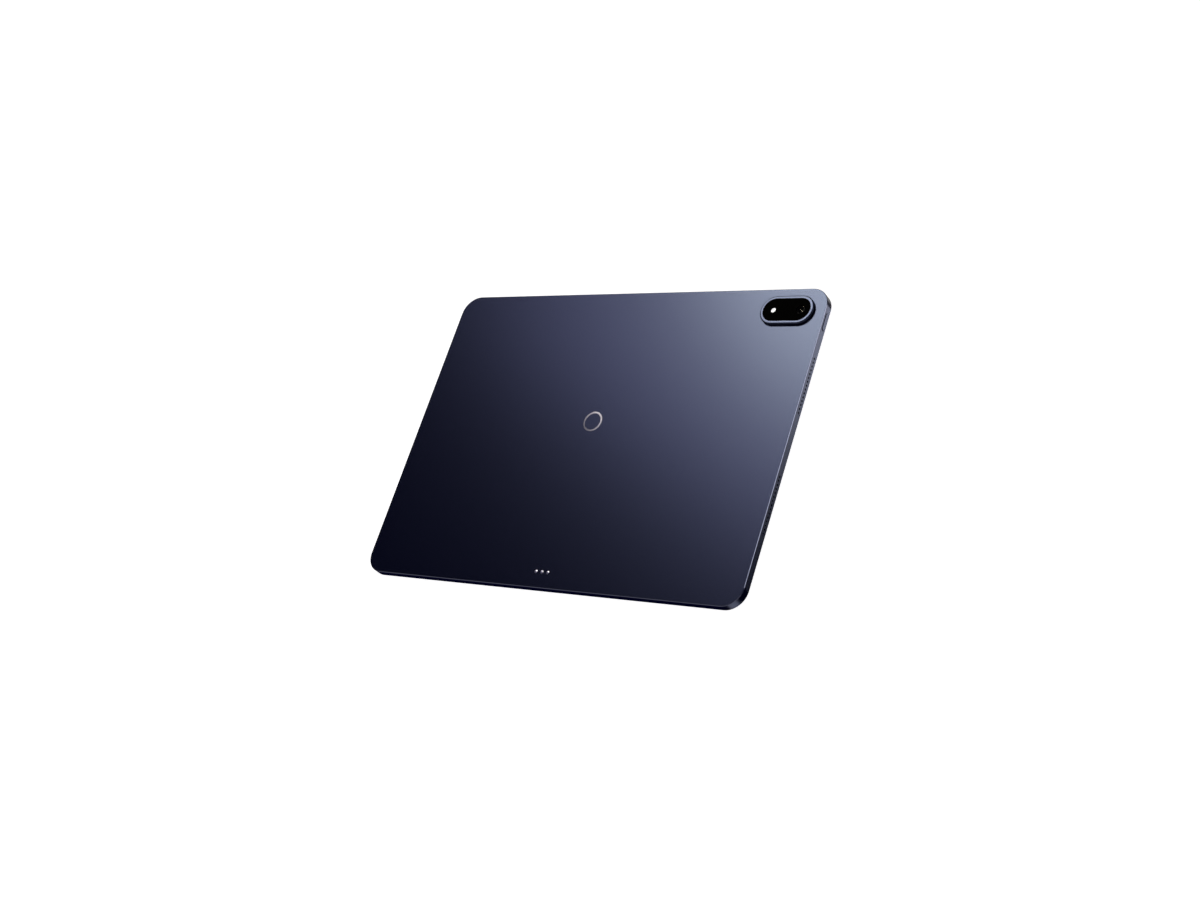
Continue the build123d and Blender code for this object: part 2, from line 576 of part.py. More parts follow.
# ---------------------------------------------------------------- loudspeakers
SPEAKER_OUTER = LENGTH / 2 - WALL - 0.6
DRIVER_SIZE = (14.0, 26.0)
driver_places = []
for corner, (wall, middle) in GRILLES.items():
    side = wall.z_dir.X
    across = side * middle
    centre = (side * (SPEAKER_OUTER - SPEAKER_DEPTH / 2), across)
    driver_centre = (side * (SPEAKER_OUTER - 11.0), across)
    driver_places.append(driver_centre)
    with BuildPart() as speaker_box:
        with BuildSketch(Plane.XY.offset(SPEAKER_BOTTOM)):
            with Locations(centre):
                RectangleRounded(SPEAKER_DEPTH, SPEAKER_LENGTH, 2.5)
        extrude(amount=SPEAKER_TOP - SPEAKER_BOTTOM)
        with BuildSketch(Plane.XY.offset(SPEAKER_BOTTOM)):
            with Locations(driver_centre):
                RectangleRounded(DRIVER_SIZE[0] + 0.2, DRIVER_SIZE[1] + 0.2, 3.0)
        extrude(amount=2.4, mode=Mode.SUBTRACT)
        # The sound duct from the driver pocket to the grille.
        with BuildSketch(wall):
            with Locations((middle, 0)):
                RectangleRounded(24.0, 1.4, 0.5)
        extrude(amount=-8.0, mode=Mode.SUBTRACT)
    pieces[f"speaker_box_{corner}"] = speaker_box
pieces["speaker_drivers"] = blocks(DRIVER_SIZE, SPEAKER_BOTTOM + 0.1, 4.3, driver_places, 2.9)

with BuildPart() as speaker_meshes:
    for wall, middle in GRILLES.values():
        with BuildSketch(wall.offset(-WALL - 0.3)):
            with Locations((middle, 0)):
                RectangleRounded(GRILLE_PITCH * GRILLE_HOLES, 2.2, 0.8)
        extrude(amount=MESH_THICKNESS)
pieces["speaker_meshes"] = speaker_meshes

MICROPHONE_PLACES = [(x, WIDTH / 2 - WALL - 1.5) for x in MICROPHONE_X]
pieces["microphones"] = blocks((3.6, 2.6), 2.3, 3.9, MICROPHONE_PLACES)

# ---------------------------------------------------------------- power button
# The cap slides in its slot, a flange behind the wall keeps it in, and a stem works the switch.
POWER_FLANGE = 0.5
POWER_FLANGE_GAP = 0.1
STEM_RADIUS = 0.75
with BuildPart() as power_button:
    with BuildSketch(RIGHT_WALL.offset(BUTTON_PROUD)):
        with Locations((POWER_Y, 0)):
            SlotOverall(POWER_LENGTH, BUTTON_HEIGHT)
    extrude(amount=-(BUTTON_PROUD + WALL + POWER_FLANGE_GAP))
    chamfer(faces().sort_by(Axis.X)[-1].edges(), 0.12)
    with BuildSketch(RIGHT_WALL.offset(-WALL - POWER_FLANGE_GAP)):
        with Locations((POWER_Y, 0)):
            RectangleRounded(POWER_LENGTH + 2.4, 3.4, 0.6)
    extrude(amount=-POWER_FLANGE)
    with BuildSketch(RIGHT_WALL.offset(-WALL - POWER_FLANGE_GAP - POWER_FLANGE)):
        with Locations((POWER_Y, 0)):
            Circle(STEM_RADIUS)
    extrude(amount=-0.4)
pieces["power_button"] = power_button

POWER_DOME = WALL + POWER_FLANGE_GAP + POWER_FLANGE + 0.4 + POWER_TRAVEL + 0.05
with BuildPart() as power_key_flex:
    with BuildSketch(RIGHT_WALL.offset(-POWER_DOME - 0.3)):
        with Locations((POWER_Y, 0)):
            RectangleRounded(POWER_LENGTH, 3.0, 0.5)
    extrude(amount=-0.2)
    with BuildSketch(RIGHT_WALL.offset(-POWER_DOME - 0.3)):
        with Locations((POWER_Y, 0)):
            Circle(1.4)
    extrude(amount=0.3, taper=30)
pieces["power_key_flex"] = power_key_flex

KEY_BRACKET = 0.4
with BuildPart() as power_key_bracket:
    with BuildSketch(RIGHT_WALL.offset(-POWER_DOME - 0.5)):
        with Locations((POWER_Y, 0)):
            RectangleRounded(POWER_LENGTH + 1.0, 3.0, 0.3)
    extrude(amount=-KEY_BRACKET)
    with BuildSketch(Plane.XY.offset(SIDE_AXIS + 1.5)):
        with Locations((LENGTH / 2 - POWER_DOME - 0.9, POWER_Y)):
            Rectangle(2 * KEY_BRACKET, 8.0)
    extrude(amount=FLOOR - SIDE_AXIS - 1.5)
pieces["power_key_bracket"] = power_key_bracket

# ---------------------------------------------------------------- volume rocker
# The rocker turns on a pin behind the wall. Its flange clears the wall by the tilt at its ends.
ROCKER_FLANGE_GAP = 0.4
ROCKER_FLANGE = 0.5
ROCKER_LUG = 1.6
ROCKER_PIN_RADIUS = 0.4
ROCKER_STEM_SPREAD = 16.0
ROCKER_BACK = WALL + ROCKER_FLANGE_GAP + ROCKER_FLANGE
ROCKER_PIN_Y = WIDTH / 2 - ROCKER_BACK - ROCKER_LUG / 2
with BuildPart() as volume_rocker:
    with BuildSketch(TOP_WALL.offset(BUTTON_PROUD)):
        with Locations((-ROCKER_X, 0)):
            SlotOverall(ROCKER_LENGTH, BUTTON_HEIGHT)
    extrude(amount=-(BUTTON_PROUD + WALL + ROCKER_FLANGE_GAP))
    chamfer(faces().sort_by(Axis.Y)[-1].edges(), 0.12)
    with BuildSketch(TOP_WALL.offset(-WALL - ROCKER_FLANGE_GAP)):
        with Locations((-ROCKER_X, 0)):
            RectangleRounded(ROCKER_LENGTH + 2.0, 3.2, 0.6)
    extrude(amount=-ROCKER_FLANGE)
    with BuildSketch(TOP_WALL.offset(-ROCKER_BACK)):
        with Locations((-ROCKER_X, 0)):
            Rectangle(2.0, 2.4)
    extrude(amount=-ROCKER_LUG)
    with BuildSketch(TOP_WALL.offset(-ROCKER_BACK)):
        with Locations((-ROCKER_X, 0)):
            with GridLocations(ROCKER_STEM_SPREAD, 0, 2, 1):
                Circle(STEM_RADIUS)
    extrude(amount=-0.4)
    with BuildSketch(Plane.XY.offset(SIDE_AXIS)):
        with Locations((ROCKER_X, ROCKER_PIN_Y)):
            Circle(ROCKER_PIN_RADIUS + 0.05)
    extrude(amount=1.2, both=True, mode=Mode.SUBTRACT)
pieces["volume_rocker"] = volume_rocker

with BuildPart() as volume_rocker_pin:
    with BuildSketch(Plane.XY.offset(SIDE_AXIS)):
        with Locations((ROCKER_X, ROCKER_PIN_Y)):
            Circle(ROCKER_PIN_RADIUS)
    extrude(amount=1.55, both=True)
pieces["volume_rocker_pin"] = volume_rocker_pin

VOLUME_DOME = ROCKER_BACK + 0.4 + 0.3
with BuildPart() as volume_key_flex:
    with BuildSketch(TOP_WALL.offset(-VOLUME_DOME - 0.3)):
        with Locations((-ROCKER_X, 0)):
            with GridLocations(ROCKER_STEM_SPREAD, 0, 2, 1):
                RectangleRounded(8.0, 3.0, 0.5)
    extrude(amount=-0.2)
    with BuildSketch(TOP_WALL.offset(-VOLUME_DOME - 0.3)):
        with Locations((-ROCKER_X, 0)):
            with GridLocations(ROCKER_STEM_SPREAD, 0, 2, 1):
                Circle(1.4)
    extrude(amount=0.3, taper=30)
pieces["volume_key_flex"] = volume_key_flex

# A plate behind the switches with a window for the rocker's lug, a foot on the back panel
# and two ears that hold the pin.
with BuildPart() as volume_key_bracket:
    with BuildSketch(TOP_WALL.offset(-VOLUME_DOME - 0.5)):
        with Locations((-ROCKER_X, 0)):
            RectangleRounded(ROCKER_LENGTH + 2.0, 3.2, 0.3)
            Rectangle(2.8, 2.6, mode=Mode.SUBTRACT)
    extrude(amount=-KEY_BRACKET)
    for low in (SIDE_AXIS - 1.6, SIDE_AXIS + 1.3):
        with BuildSketch(Plane.XY.offset(low)):
            with Locations((ROCKER_X, ROCKER_PIN_Y - 0.4)):
                Rectangle(2.4, 1.9)
            with Locations((ROCKER_X, ROCKER_PIN_Y)):
                Circle(ROCKER_PIN_RADIUS + 0.02, mode=Mode.SUBTRACT)
        extrude(amount=0.3)
    with BuildSketch(Plane.XY.offset(SIDE_AXIS + 1.6)):
        with Locations((ROCKER_X, WIDTH / 2 - VOLUME_DOME - 0.5 - KEY_BRACKET / 2)):
            Rectangle(20.0, KEY_BRACKET)
    extrude(amount=FLOOR - SIDE_AXIS - 1.6)
pieces["volume_key_bracket"] = volume_key_bracket

# ---------------------------------------------------------------- radio, stylus and keyboard parts
ANTENNAS = ((-112, 99), (-30, 99), (-112, -98), (112, -98))
pieces["wifi_antennas"] = blocks((34, 5.0), 4.2, FLOOR, ANTENNAS, 1.0)

STYLUS_X = 35.0
STYLUS_Y = 98.6
with BuildPart() as stylus_charging_coil:
    with BuildSketch(Plane.XY.offset(2.4)):
        with Locations((STYLUS_X, STYLUS_Y)):
            SlotOverall(28.0, 6.0)
            SlotOverall(22.4, 2.4, mode=Mode.SUBTRACT)
    extrude(amount=1.0)
pieces["stylus_charging_coil"] = stylus_charging_coil
pieces["stylus_coil_ferrite"] = sheet((30.0, 6.6), 3.4, 4.2, (STYLUS_X, STYLUS_Y))

MAGNET_X = (26, 39, 52, 65, 78)
MAGNET_PLACES = [(side * x, -97.5) for side in (-1, 1) for x in MAGNET_X]
pieces["keyboard_magnets"] = blocks((10.0, 5.0), 3.0, FLOOR, MAGNET_PLACES)

# ---------------------------------------------------------------- write every piece
for label, piece in pieces.items():
    piece.part.label = label
    export_step(piece.part, f"parts/{label}.step")
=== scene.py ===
"""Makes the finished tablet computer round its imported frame: shells, glass, camera island, buttons,
port, contacts and every surface finish. Lengths are metres."""

from math import cos, pi, radians, sin

import bmesh
import bpy
from bpy.props import FloatProperty, FloatVectorProperty, IntProperty, PointerProperty
from bpy.types import Operator, Panel, PropertyGroup
from mathutils import Matrix, Vector


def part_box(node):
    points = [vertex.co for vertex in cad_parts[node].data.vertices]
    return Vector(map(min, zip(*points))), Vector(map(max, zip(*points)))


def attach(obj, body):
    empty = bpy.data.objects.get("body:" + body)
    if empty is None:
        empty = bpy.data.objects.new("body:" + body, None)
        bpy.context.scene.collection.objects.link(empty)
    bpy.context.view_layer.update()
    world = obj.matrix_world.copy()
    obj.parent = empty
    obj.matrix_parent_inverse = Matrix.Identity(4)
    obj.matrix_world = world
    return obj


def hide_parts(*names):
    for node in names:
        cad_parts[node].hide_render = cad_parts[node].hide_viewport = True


bl_info = {
    "name": "Tablet Computer",
    "version": (1, 0, 0),
    "blender": (4, 5, 0),
    "location": "View3D > Sidebar > Tablet",
    "description": "Builds a thin metal tablet computer with its glass, camera island and studio",
    "category": "Add Mesh",
}

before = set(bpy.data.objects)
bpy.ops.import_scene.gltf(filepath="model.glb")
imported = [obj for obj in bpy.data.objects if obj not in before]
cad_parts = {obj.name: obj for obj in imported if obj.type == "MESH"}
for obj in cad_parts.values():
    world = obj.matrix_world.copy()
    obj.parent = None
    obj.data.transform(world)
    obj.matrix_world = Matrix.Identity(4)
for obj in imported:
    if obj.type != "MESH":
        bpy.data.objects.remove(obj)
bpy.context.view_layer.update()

MM = 0.001
HOUSING_LOW, HOUSING_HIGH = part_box("rear_housing")
LENGTH = HOUSING_HIGH.x - HOUSING_LOW.x
WIDTH = HOUSING_HIGH.y - HOUSING_LOW.y
BACK = HOUSING_HIGH.z
METAL_FRONT = HOUSING_LOW.z
SIDE_AXIS = 3.0 * MM  # height of the buttons', grilles' and port's centre line
WALL = 2.2 * MM  # thickness of the housing's side wall
CAVITY_TOP = 5.2 * MM  # inside face of the housing's back
CAP_LENGTHS = {"power_button": 11.5 * MM, "volume_rocker": 24.0 * MM}
CAP_HEIGHT = 2.4 * MM
BUTTON_GAP = 0.15 * MM  # between a button and its slot
BUTTON_PROUD = 0.3 * MM  # how far a button stands out of the wall
MICROPHONE_LENGTH = 3.6 * MM
PORT_GAP = 0.12 * MM  # between the port's shell and its slot
PORT_SHELL = 0.3 * MM  # thickness of the port's drawn shell
EMBLEM_BAND = 1.16 * MM  # width of the inlaid ring's metal
EMBLEM_GAP = 0.02 * MM  # between the inlay and its groove
CONTACT_RADIUS = 1.13 * MM
CONTACT_LEAN = radians(20)  # how far the rim of a contact's dome leans
COLLAR_RADIUS = 1.38 * MM  # hole in the back that a contact and its collar fill
NECK_STEP = 1.8 * MM  # how far the island's neck stands in from its outline
ISLAND_SHOULDER = 0.85 * MM  # radius of the island's rounded upper edge
ISLAND_RIM = 2.05 * MM  # from the island's outline to its window
GLASS_EASE = 0.22 * MM  # rounding of the front glass's edge

CAMERA_EYE = Vector((0.6569, -0.3896, 0.7850))
CAMERA_AIM = Vector((0.01317, -0.00992, BACK))
CAMERA_ROLL = radians(-48.41)
CAMERA_LENS = 51.92


def linear(hex_colour):
    """An sRGB hex colour as the linear values that a shader takes."""
    channels = [int(hex_colour[i : i + 2], 16) / 255 for i in (0, 2, 4)]
    curve = [c / 12.92 if c <= 0.04045 else ((c + 0.055) / 1.055) ** 2.4 for c in channels]
    return (*curve, 1.0)


# ---------------------------------------------------------------- what a user would change
def distance(name, description, millimetres):
    """A size in the sidebar, given in millimetres."""
    return FloatProperty(name=name, description=description, default=millimetres * MM, unit="LENGTH")


def swatch(name, description, hex_colour):
    """A colour in the sidebar."""
    shade = linear(hex_colour)
    return FloatVectorProperty(name=name, description=description, subtype="COLOR", size=4, default=shade)


class TabletSizes(PropertyGroup):
    """Sizes of the finish details, which the frame doesn't hold."""

    corner_radius: distance("Corner Radius", "Radius of the four corners, seen from the back", 12.9)
    back_chamfer: distance("Back Chamfer", "Width of the bright cut round the back edge", 0.33)
    softening: distance("Edge Softening", "How far each machined edge is eased", 0.06)
    hole_radius: distance("Grille Hole Radius", "Radius of one speaker grille hole", 0.65)
    hole_pitch: distance("Grille Pitch", "Distance between neighbouring grille holes", 2.6)
    hole_count: IntProperty(
        name="Grille Holes", description="Number of holes in one speaker grille", default=15
    )
    grille_centre: distance("Grille Centre", "From the long centre line to a grille's middle", 39.2)
    hole_flare: distance("Hole Flare", "Width of the small countersink round each opening", 0.12)
    picture_length: distance("Picture Length", "Long side of the lit picture", 272.8)
    picture_width: distance("Picture Width", "Short side of the lit picture", 194.9)
    picture_radius: distance("Picture Corner Radius", "Radius of the picture's corners", 6.0)


class TabletColours(PropertyGroup):
    """Colours of the main finishes."""

    anodised: swatch("Anodised Metal", "Dyed oxide on the housing", "464D68")
    cut_edge: swatch("Cut Edge", "Bright chamfers cut after the first dye bath", "8E93AD")
    # The emblem colour is the bright end of the inlay's painted sheen.
    emblem: swatch("Emblem", "Bright side of the polished inlay", "FBFBFF")


class TabletStudio(PropertyGroup):
    """Studio light, as the radiance of each soft box."""

    key: FloatProperty(name="Key", description="Large soft box behind the camera end", default=1.06)
    core: FloatProperty(name="Key Core", description="Small soft box inside the large one", default=8.5)
    side: FloatProperty(name="Side", description="Soft box that picks out the side chamfer", default=1.65)
    fill: FloatProperty(name="Fill", description="The two low wide soft boxes", default=0.35)


# ---------------------------------------------------------------- mesh helpers
ARC_STEPS = 20
LEAST_CORNER = 0.02 * MM


def outline(length, width, radius, height, centre=(0.0, 0.0), steps=ARC_STEPS):
    """One turn round a rounded rectangle, anticlockwise from above."""
    points = []
    for quarter, (sx, sy) in enumerate(((1, 1), (-1, 1), (-1, -1), (1, -1))):
        cx = centre[0] + sx * (length / 2 - radius)
        cy = centre[1] + sy * (width / 2 - radius)
        for step in range(steps + 1):
            angle = (quarter + step / steps) * pi / 2
            points.append(Vector((cx + radius * cos(angle), cy + radius * sin(angle), height)))
    return points


def circle(radius, height, centre=(0.0, 0.0), steps=48):
    """One turn round a circle, or a single point where the radius is nothing."""
    if radius == 0:
        return [Vector((*centre, height))]
    turn = [2 * pi * k / steps for k in range(steps)]
    return [Vector((centre[0] + radius * cos(a), centre[1] + radius * sin(a), height)) for a in turn]


def eased(section, amount, steps=3):
    """A section line with each of its inner corners rounded off."""
    line = [Vector(section[0])]
    for before, corner, after in zip(section, section[1:], section[2:]):
        corner = Vector(corner)
        start = corner + (Vector(before) - corner).normalized() * amount
        end = corner + (Vector(after) - corner).normalized() * amount
        for step in range(steps + 1):
            t = step / steps
            line.append(start * (1 - t) ** 2 + corner * 2 * t * (1 - t) + end * t**2)
    line.append(Vector(section[-1]))
    return line


def skin(name, rings, caps=True):
    """A closed skin over rings of points. A ring of one point is a pole."""
    mesh_maker = bmesh.new()
    loops = [[mesh_maker.verts.new(p) for p in ring] for ring in rings]
    for low, high in zip(loops, loops[1:]):
        for k in range(max(len(low), len(high))):
            corners = [low[k % len(low)], low[(k + 1) % len(low)]]
            corners += [high[(k + 1) % len(high)], high[k % len(high)]]
            mesh_maker.faces.new(list(dict.fromkeys(corners)))
    for loop in (loops[0], loops[-1]):
        if caps and len(loop) > 2:
            mesh_maker.faces.new(loop)
    bmesh.ops.remove_doubles(mesh_maker, verts=mesh_maker.verts, dist=1e-7)
    bmesh.ops.recalc_face_normals(mesh_maker, faces=mesh_maker.faces)
    return made_object(name, mesh_maker)


def made_object(name, mesh_maker):
    """The finished bmesh as an object in the scene."""
    mesh = bpy.data.meshes.new(name)
    mesh_maker.to_mesh(mesh)
    mesh_maker.free()
    piece = bpy.data.objects.new(name, mesh)
    bpy.context.scene.collection.objects.link(piece)
    return piece


def turned(name, section, centre=(0.0, 0.0), steps=48):
    """A turned part: a section of (radius, height) pairs spun about an upright axis."""
    return skin(name, [circle(r, z, centre, steps) for r, z in section])


def bar(name, radius, bottom, top, centre=(0.0, 0.0), steps=48):
    """A plain round bar."""
    return turned(name, [(0, bottom), (radius, bottom), (radius, top), (0, top)], centre, steps)


def hoop(name, section, node_name, steps=96):
    """A closed ring: a loop of (radius, height) pairs spun about the middle of a node."""
    centre = middle_of(node_name)
    return skin(name, [circle(r, z, centre, steps) for r, z in (*section, section[0])], caps=False)


def rounds(section, length, width, radius, centre=(0.0, 0.0), steps=ARC_STEPS):
    """Rounded rectangles at each (inset, height) pair of a section. No corner is quite sharp."""
    rings = []
    for inset, height in section:
        corner = max(radius - inset, LEAST_CORNER)
        rings.append(outline(length - 2 * inset, width - 2 * inset, corner, height, centre, steps))
    return rings


def slab(name, section, length, width, radius, centre=(0.0, 0.0), caps=True, steps=ARC_STEPS):
    """A part with rounded corners: a section of (inset, height) pairs taken round it."""
    return skin(name, rounds(section, length, width, radius, centre, steps), caps)


def pill(name, section, length, width, centre=(0.0, 0.0), caps=True):
    """A slab with round ends. They stop just short of meeting, so that no edge has no length."""
    return slab(name, section, length, width, width / 2 - 1e-6, centre, caps)


def coat(piece, kind):
    """Gives the whole piece one finish."""
    piece.data.materials.append(finish(kind))
    return piece


def settle(piece):
    """Turns the piece with its modifiers into a plain mesh."""
    depsgraph = bpy.context.evaluated_depsgraph_get()
    mesh = bpy.data.meshes.new_from_object(piece.evaluated_get(depsgraph), depsgraph=depsgraph)
    piece.modifiers.clear()
    piece.data = mesh


def cut(piece, cutters):
    """Takes the cutters' shape out of the piece, and throws the cutters away."""
    for cutter in cutters:
        modifier = piece.modifiers.new("Opening", "BOOLEAN")
        modifier.operation = "DIFFERENCE"
        modifier.solver = "EXACT"
        modifier.object = cutter
        modifier.material_mode = "TRANSFER"
    settle(piece)
    for cutter in cutters:
        bpy.data.objects.remove(cutter, do_unlink=True)


def smooth(piece, sharp_angle=28):
    """Smooth shading over curves, with flat walls kept flat and true edges kept crisp."""
    piece.data.shade_smooth()
    piece.data.set_sharp_from_angle(angle=radians(sharp_angle))
    modifier = piece.modifiers.new("Flat walls", "WEIGHTED_NORMAL")
    modifier.keep_sharp = True
    modifier.weight = 100
    settle(piece)


def paint(piece, material, test):
    """Gives a material to the faces that pass a test of their centre and normal."""
    piece.data.materials.append(material)
    index = len(piece.data.materials) - 1
    for face in piece.data.polygons:
        if test(face.center, face.normal):
            face.material_index = index


def join(name, pieces):
    """Several pieces as one, with their materials."""
    mesh_maker = bmesh.new()
    materials = []
    for piece in pieces:
        start = len(mesh_maker.faces)
        mesh_maker.from_mesh(piece.data)
        mesh_maker.faces.ensure_lookup_table()
        for face in mesh_maker.faces[start:]:
            face.material_index += len(materials)
        materials += list(piece.data.materials)
        bpy.data.objects.remove(piece, do_unlink=True)
    joined = made_object(name, mesh_maker)
    for material in materials:
        joined.data.materials.append(material)
    return joined


def fit(piece, body, slot, *nodes):
    """Hands the piece to the frame: its body and the nodes it stands for. The slot, a finish name, is not
    used.
    """
    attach(piece, body)
    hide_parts(*nodes)
    return piece


# ---------------------------------------------------------------- rows made by geometry nodes
def row_tree():
    """Node tree that repeats a shape in a straight row. Made once."""
    if "Row of parts" in bpy.data.node_groups:
        return bpy.data.node_groups["Row of parts"]
    tree = bpy.data.node_groups.new("Row of parts", "GeometryNodeTree")
    wanted = (
        ("Shape", "NodeSocketGeometry"),
        ("Count", "NodeSocketInt"),
        ("Start", "NodeSocketVector"),
        ("Step", "NodeSocketVector"),
        ("Turn", "NodeSocketVector"),
        ("Material", "NodeSocketMaterial"),
    )
    for name, kind in wanted:
        tree.interface.new_socket(name, in_out="INPUT", socket_type=kind)
    tree.interface.new_socket("Row", in_out="OUTPUT", socket_type="NodeSocketGeometry")
    inputs = node(tree, "NodeGroupInput")
    places = node(
        tree,
        "GeometryNodeMeshLine",
        links={"Count": inputs.outputs["Count"], "Start Location": inputs.outputs["Start"]},
        mode="OFFSET",
    )
    tree.links.new(inputs.outputs["Step"], places.inputs["Offset"])
    copies = node(
        tree,
        "GeometryNodeInstanceOnPoints",
        links={
            "Points": places.outputs["Mesh"],
            "Instance": inputs.outputs["Shape"],
            "Rotation": inputs.outputs["Turn"],
        },
    )
    real = node(tree, "GeometryNodeRealizeInstances", links={"Geometry": copies.outputs["Instances"]})
    coated = node(
        tree,
        "GeometryNodeSetMaterial",
        links={"Geometry": real.outputs["Geometry"], "Material": inputs.outputs["Material"]},
    )
    node(tree, "NodeGroupOutput", links={"Row": coated.outputs["Geometry"]})
    return tree


def row(piece, material, count, start, step, turn=(0.0, 0.0, 0.0)):
    """Repeats the piece's own mesh in a row and leaves it as a plain mesh."""
    tree = row_tree()
    modifier = piece.modifiers.new("Row", "NODES")
    modifier.node_group = tree
    values = {"Count": count, "Start": start, "Step": step, "Turn": turn, "Material": material}
    for socket in tree.interface.items_tree:
        if socket.name in values:
            modifier[socket.identifier] = values[socket.name]
    settle(piece)
    return piece


# ---------------------------------------------------------------- shader helpers
def node(tree, kind, inputs=None, links=None, **settings):
    """Adds one node with its settings, its input values and its incoming links."""
    made = tree.nodes.new(kind)
    for name, value in settings.items():
        setattr(made, name, value)
    for name, value in (inputs or {}).items():
        made.inputs[name].default_value = value
    for name, socket in (links or {}).items():
        tree.links.new(socket, made.inputs[name])
    return made


def surface(name, colour, settings):
    """A material with one principled shader, and that shader."""
    material = bpy.data.materials.new(name)
    material.use_nodes = True
    shader = material.node_tree.nodes["Principled BSDF"]
    shader.inputs["Base Color"].default_value = colour
    for socket, value in settings.items():
        shader.inputs[socket].default_value = value
    material.diffuse_color = colour
    return material, shader


def grain(material, shader, size, tint, rough, bump):
    """Fine variation of colour, roughness and height at a real size in metres."""
    tree = material.node_tree
    base = tuple(shader.inputs["Base Color"].default_value)
    place = node(tree, "ShaderNodeTexCoord")
    noise = node(
        tree,
        "ShaderNodeTexNoise",
        inputs={"Scale": 1 / size, "Detail": 3.0, "Roughness": 0.6},
        links={"Vector": place.outputs["Object"]},
    )
    shade = [tuple(min(1.0, c * f) for c in base[:3]) + (1.0,) for f in (1 - tint, 1 + tint)]
    colours = node(tree, "ShaderNodeMix", links={"Factor": noise.outputs["Fac"]}, data_type="RGBA")
    colours.inputs[6].default_value = shade[0]
    colours.inputs[7].default_value = shade[1]
    tree.links.new(colours.outputs[2], shader.inputs["Base Color"])
    level = node(
        tree,
        "ShaderNodeMapRange",
        inputs={"From Min": 0.3, "From Max": 0.7, "To Min": rough[0], "To Max": rough[1]},
        links={"Value": noise.outputs["Fac"]},
    )
    tree.links.new(level.outputs["Result"], shader.inputs["Roughness"])
    relief = node(
        tree,
        "ShaderNodeBump",
        inputs={"Strength": bump, "Distance": size * 0.1},
        links={"Height": noise.outputs["Fac"]},
    )
    tree.links.new(relief.outputs["Normal"], shader.inputs["Normal"])


def two_tone(tree, shader, factor, first, second):
    """Colours the shader between two linear colours."""
    mix = node(tree, "ShaderNodeMix", links={"Factor": factor}, data_type="RGBA")
    mix.inputs[6].default_value = first
    mix.inputs[7].default_value = second
    tree.links.new(mix.outputs[2], shader.inputs["Base Color"])


# ---------------------------------------------------------------- finishes
METAL = {"Metallic": 1.0}
SCREEN = {"IOR": 1.51, "Coat Weight": 0.3, "Coat Roughness": 0.02}
COATED = {"IOR": 1.09, "Roughness": 0.03, "Coat Weight": 0.12, "Coat IOR": 1.5}
COATED["Coat Tint"] = linear("B9A8E8")
MATT = {"Specular IOR Level": 0.4}
# The flash diffuser's emission is a painted glow: the lamp under it is off.
MILKY_GLOW = {"Subsurface Weight": 0.1, "Emission Color": linear("FFFFFF"), "Emission Strength": 0.9}
LIT_PAINT = {"Specular IOR Level": 0.0, "Emission Color": linear("FFFFFF"), "Emission Strength": 0.97}

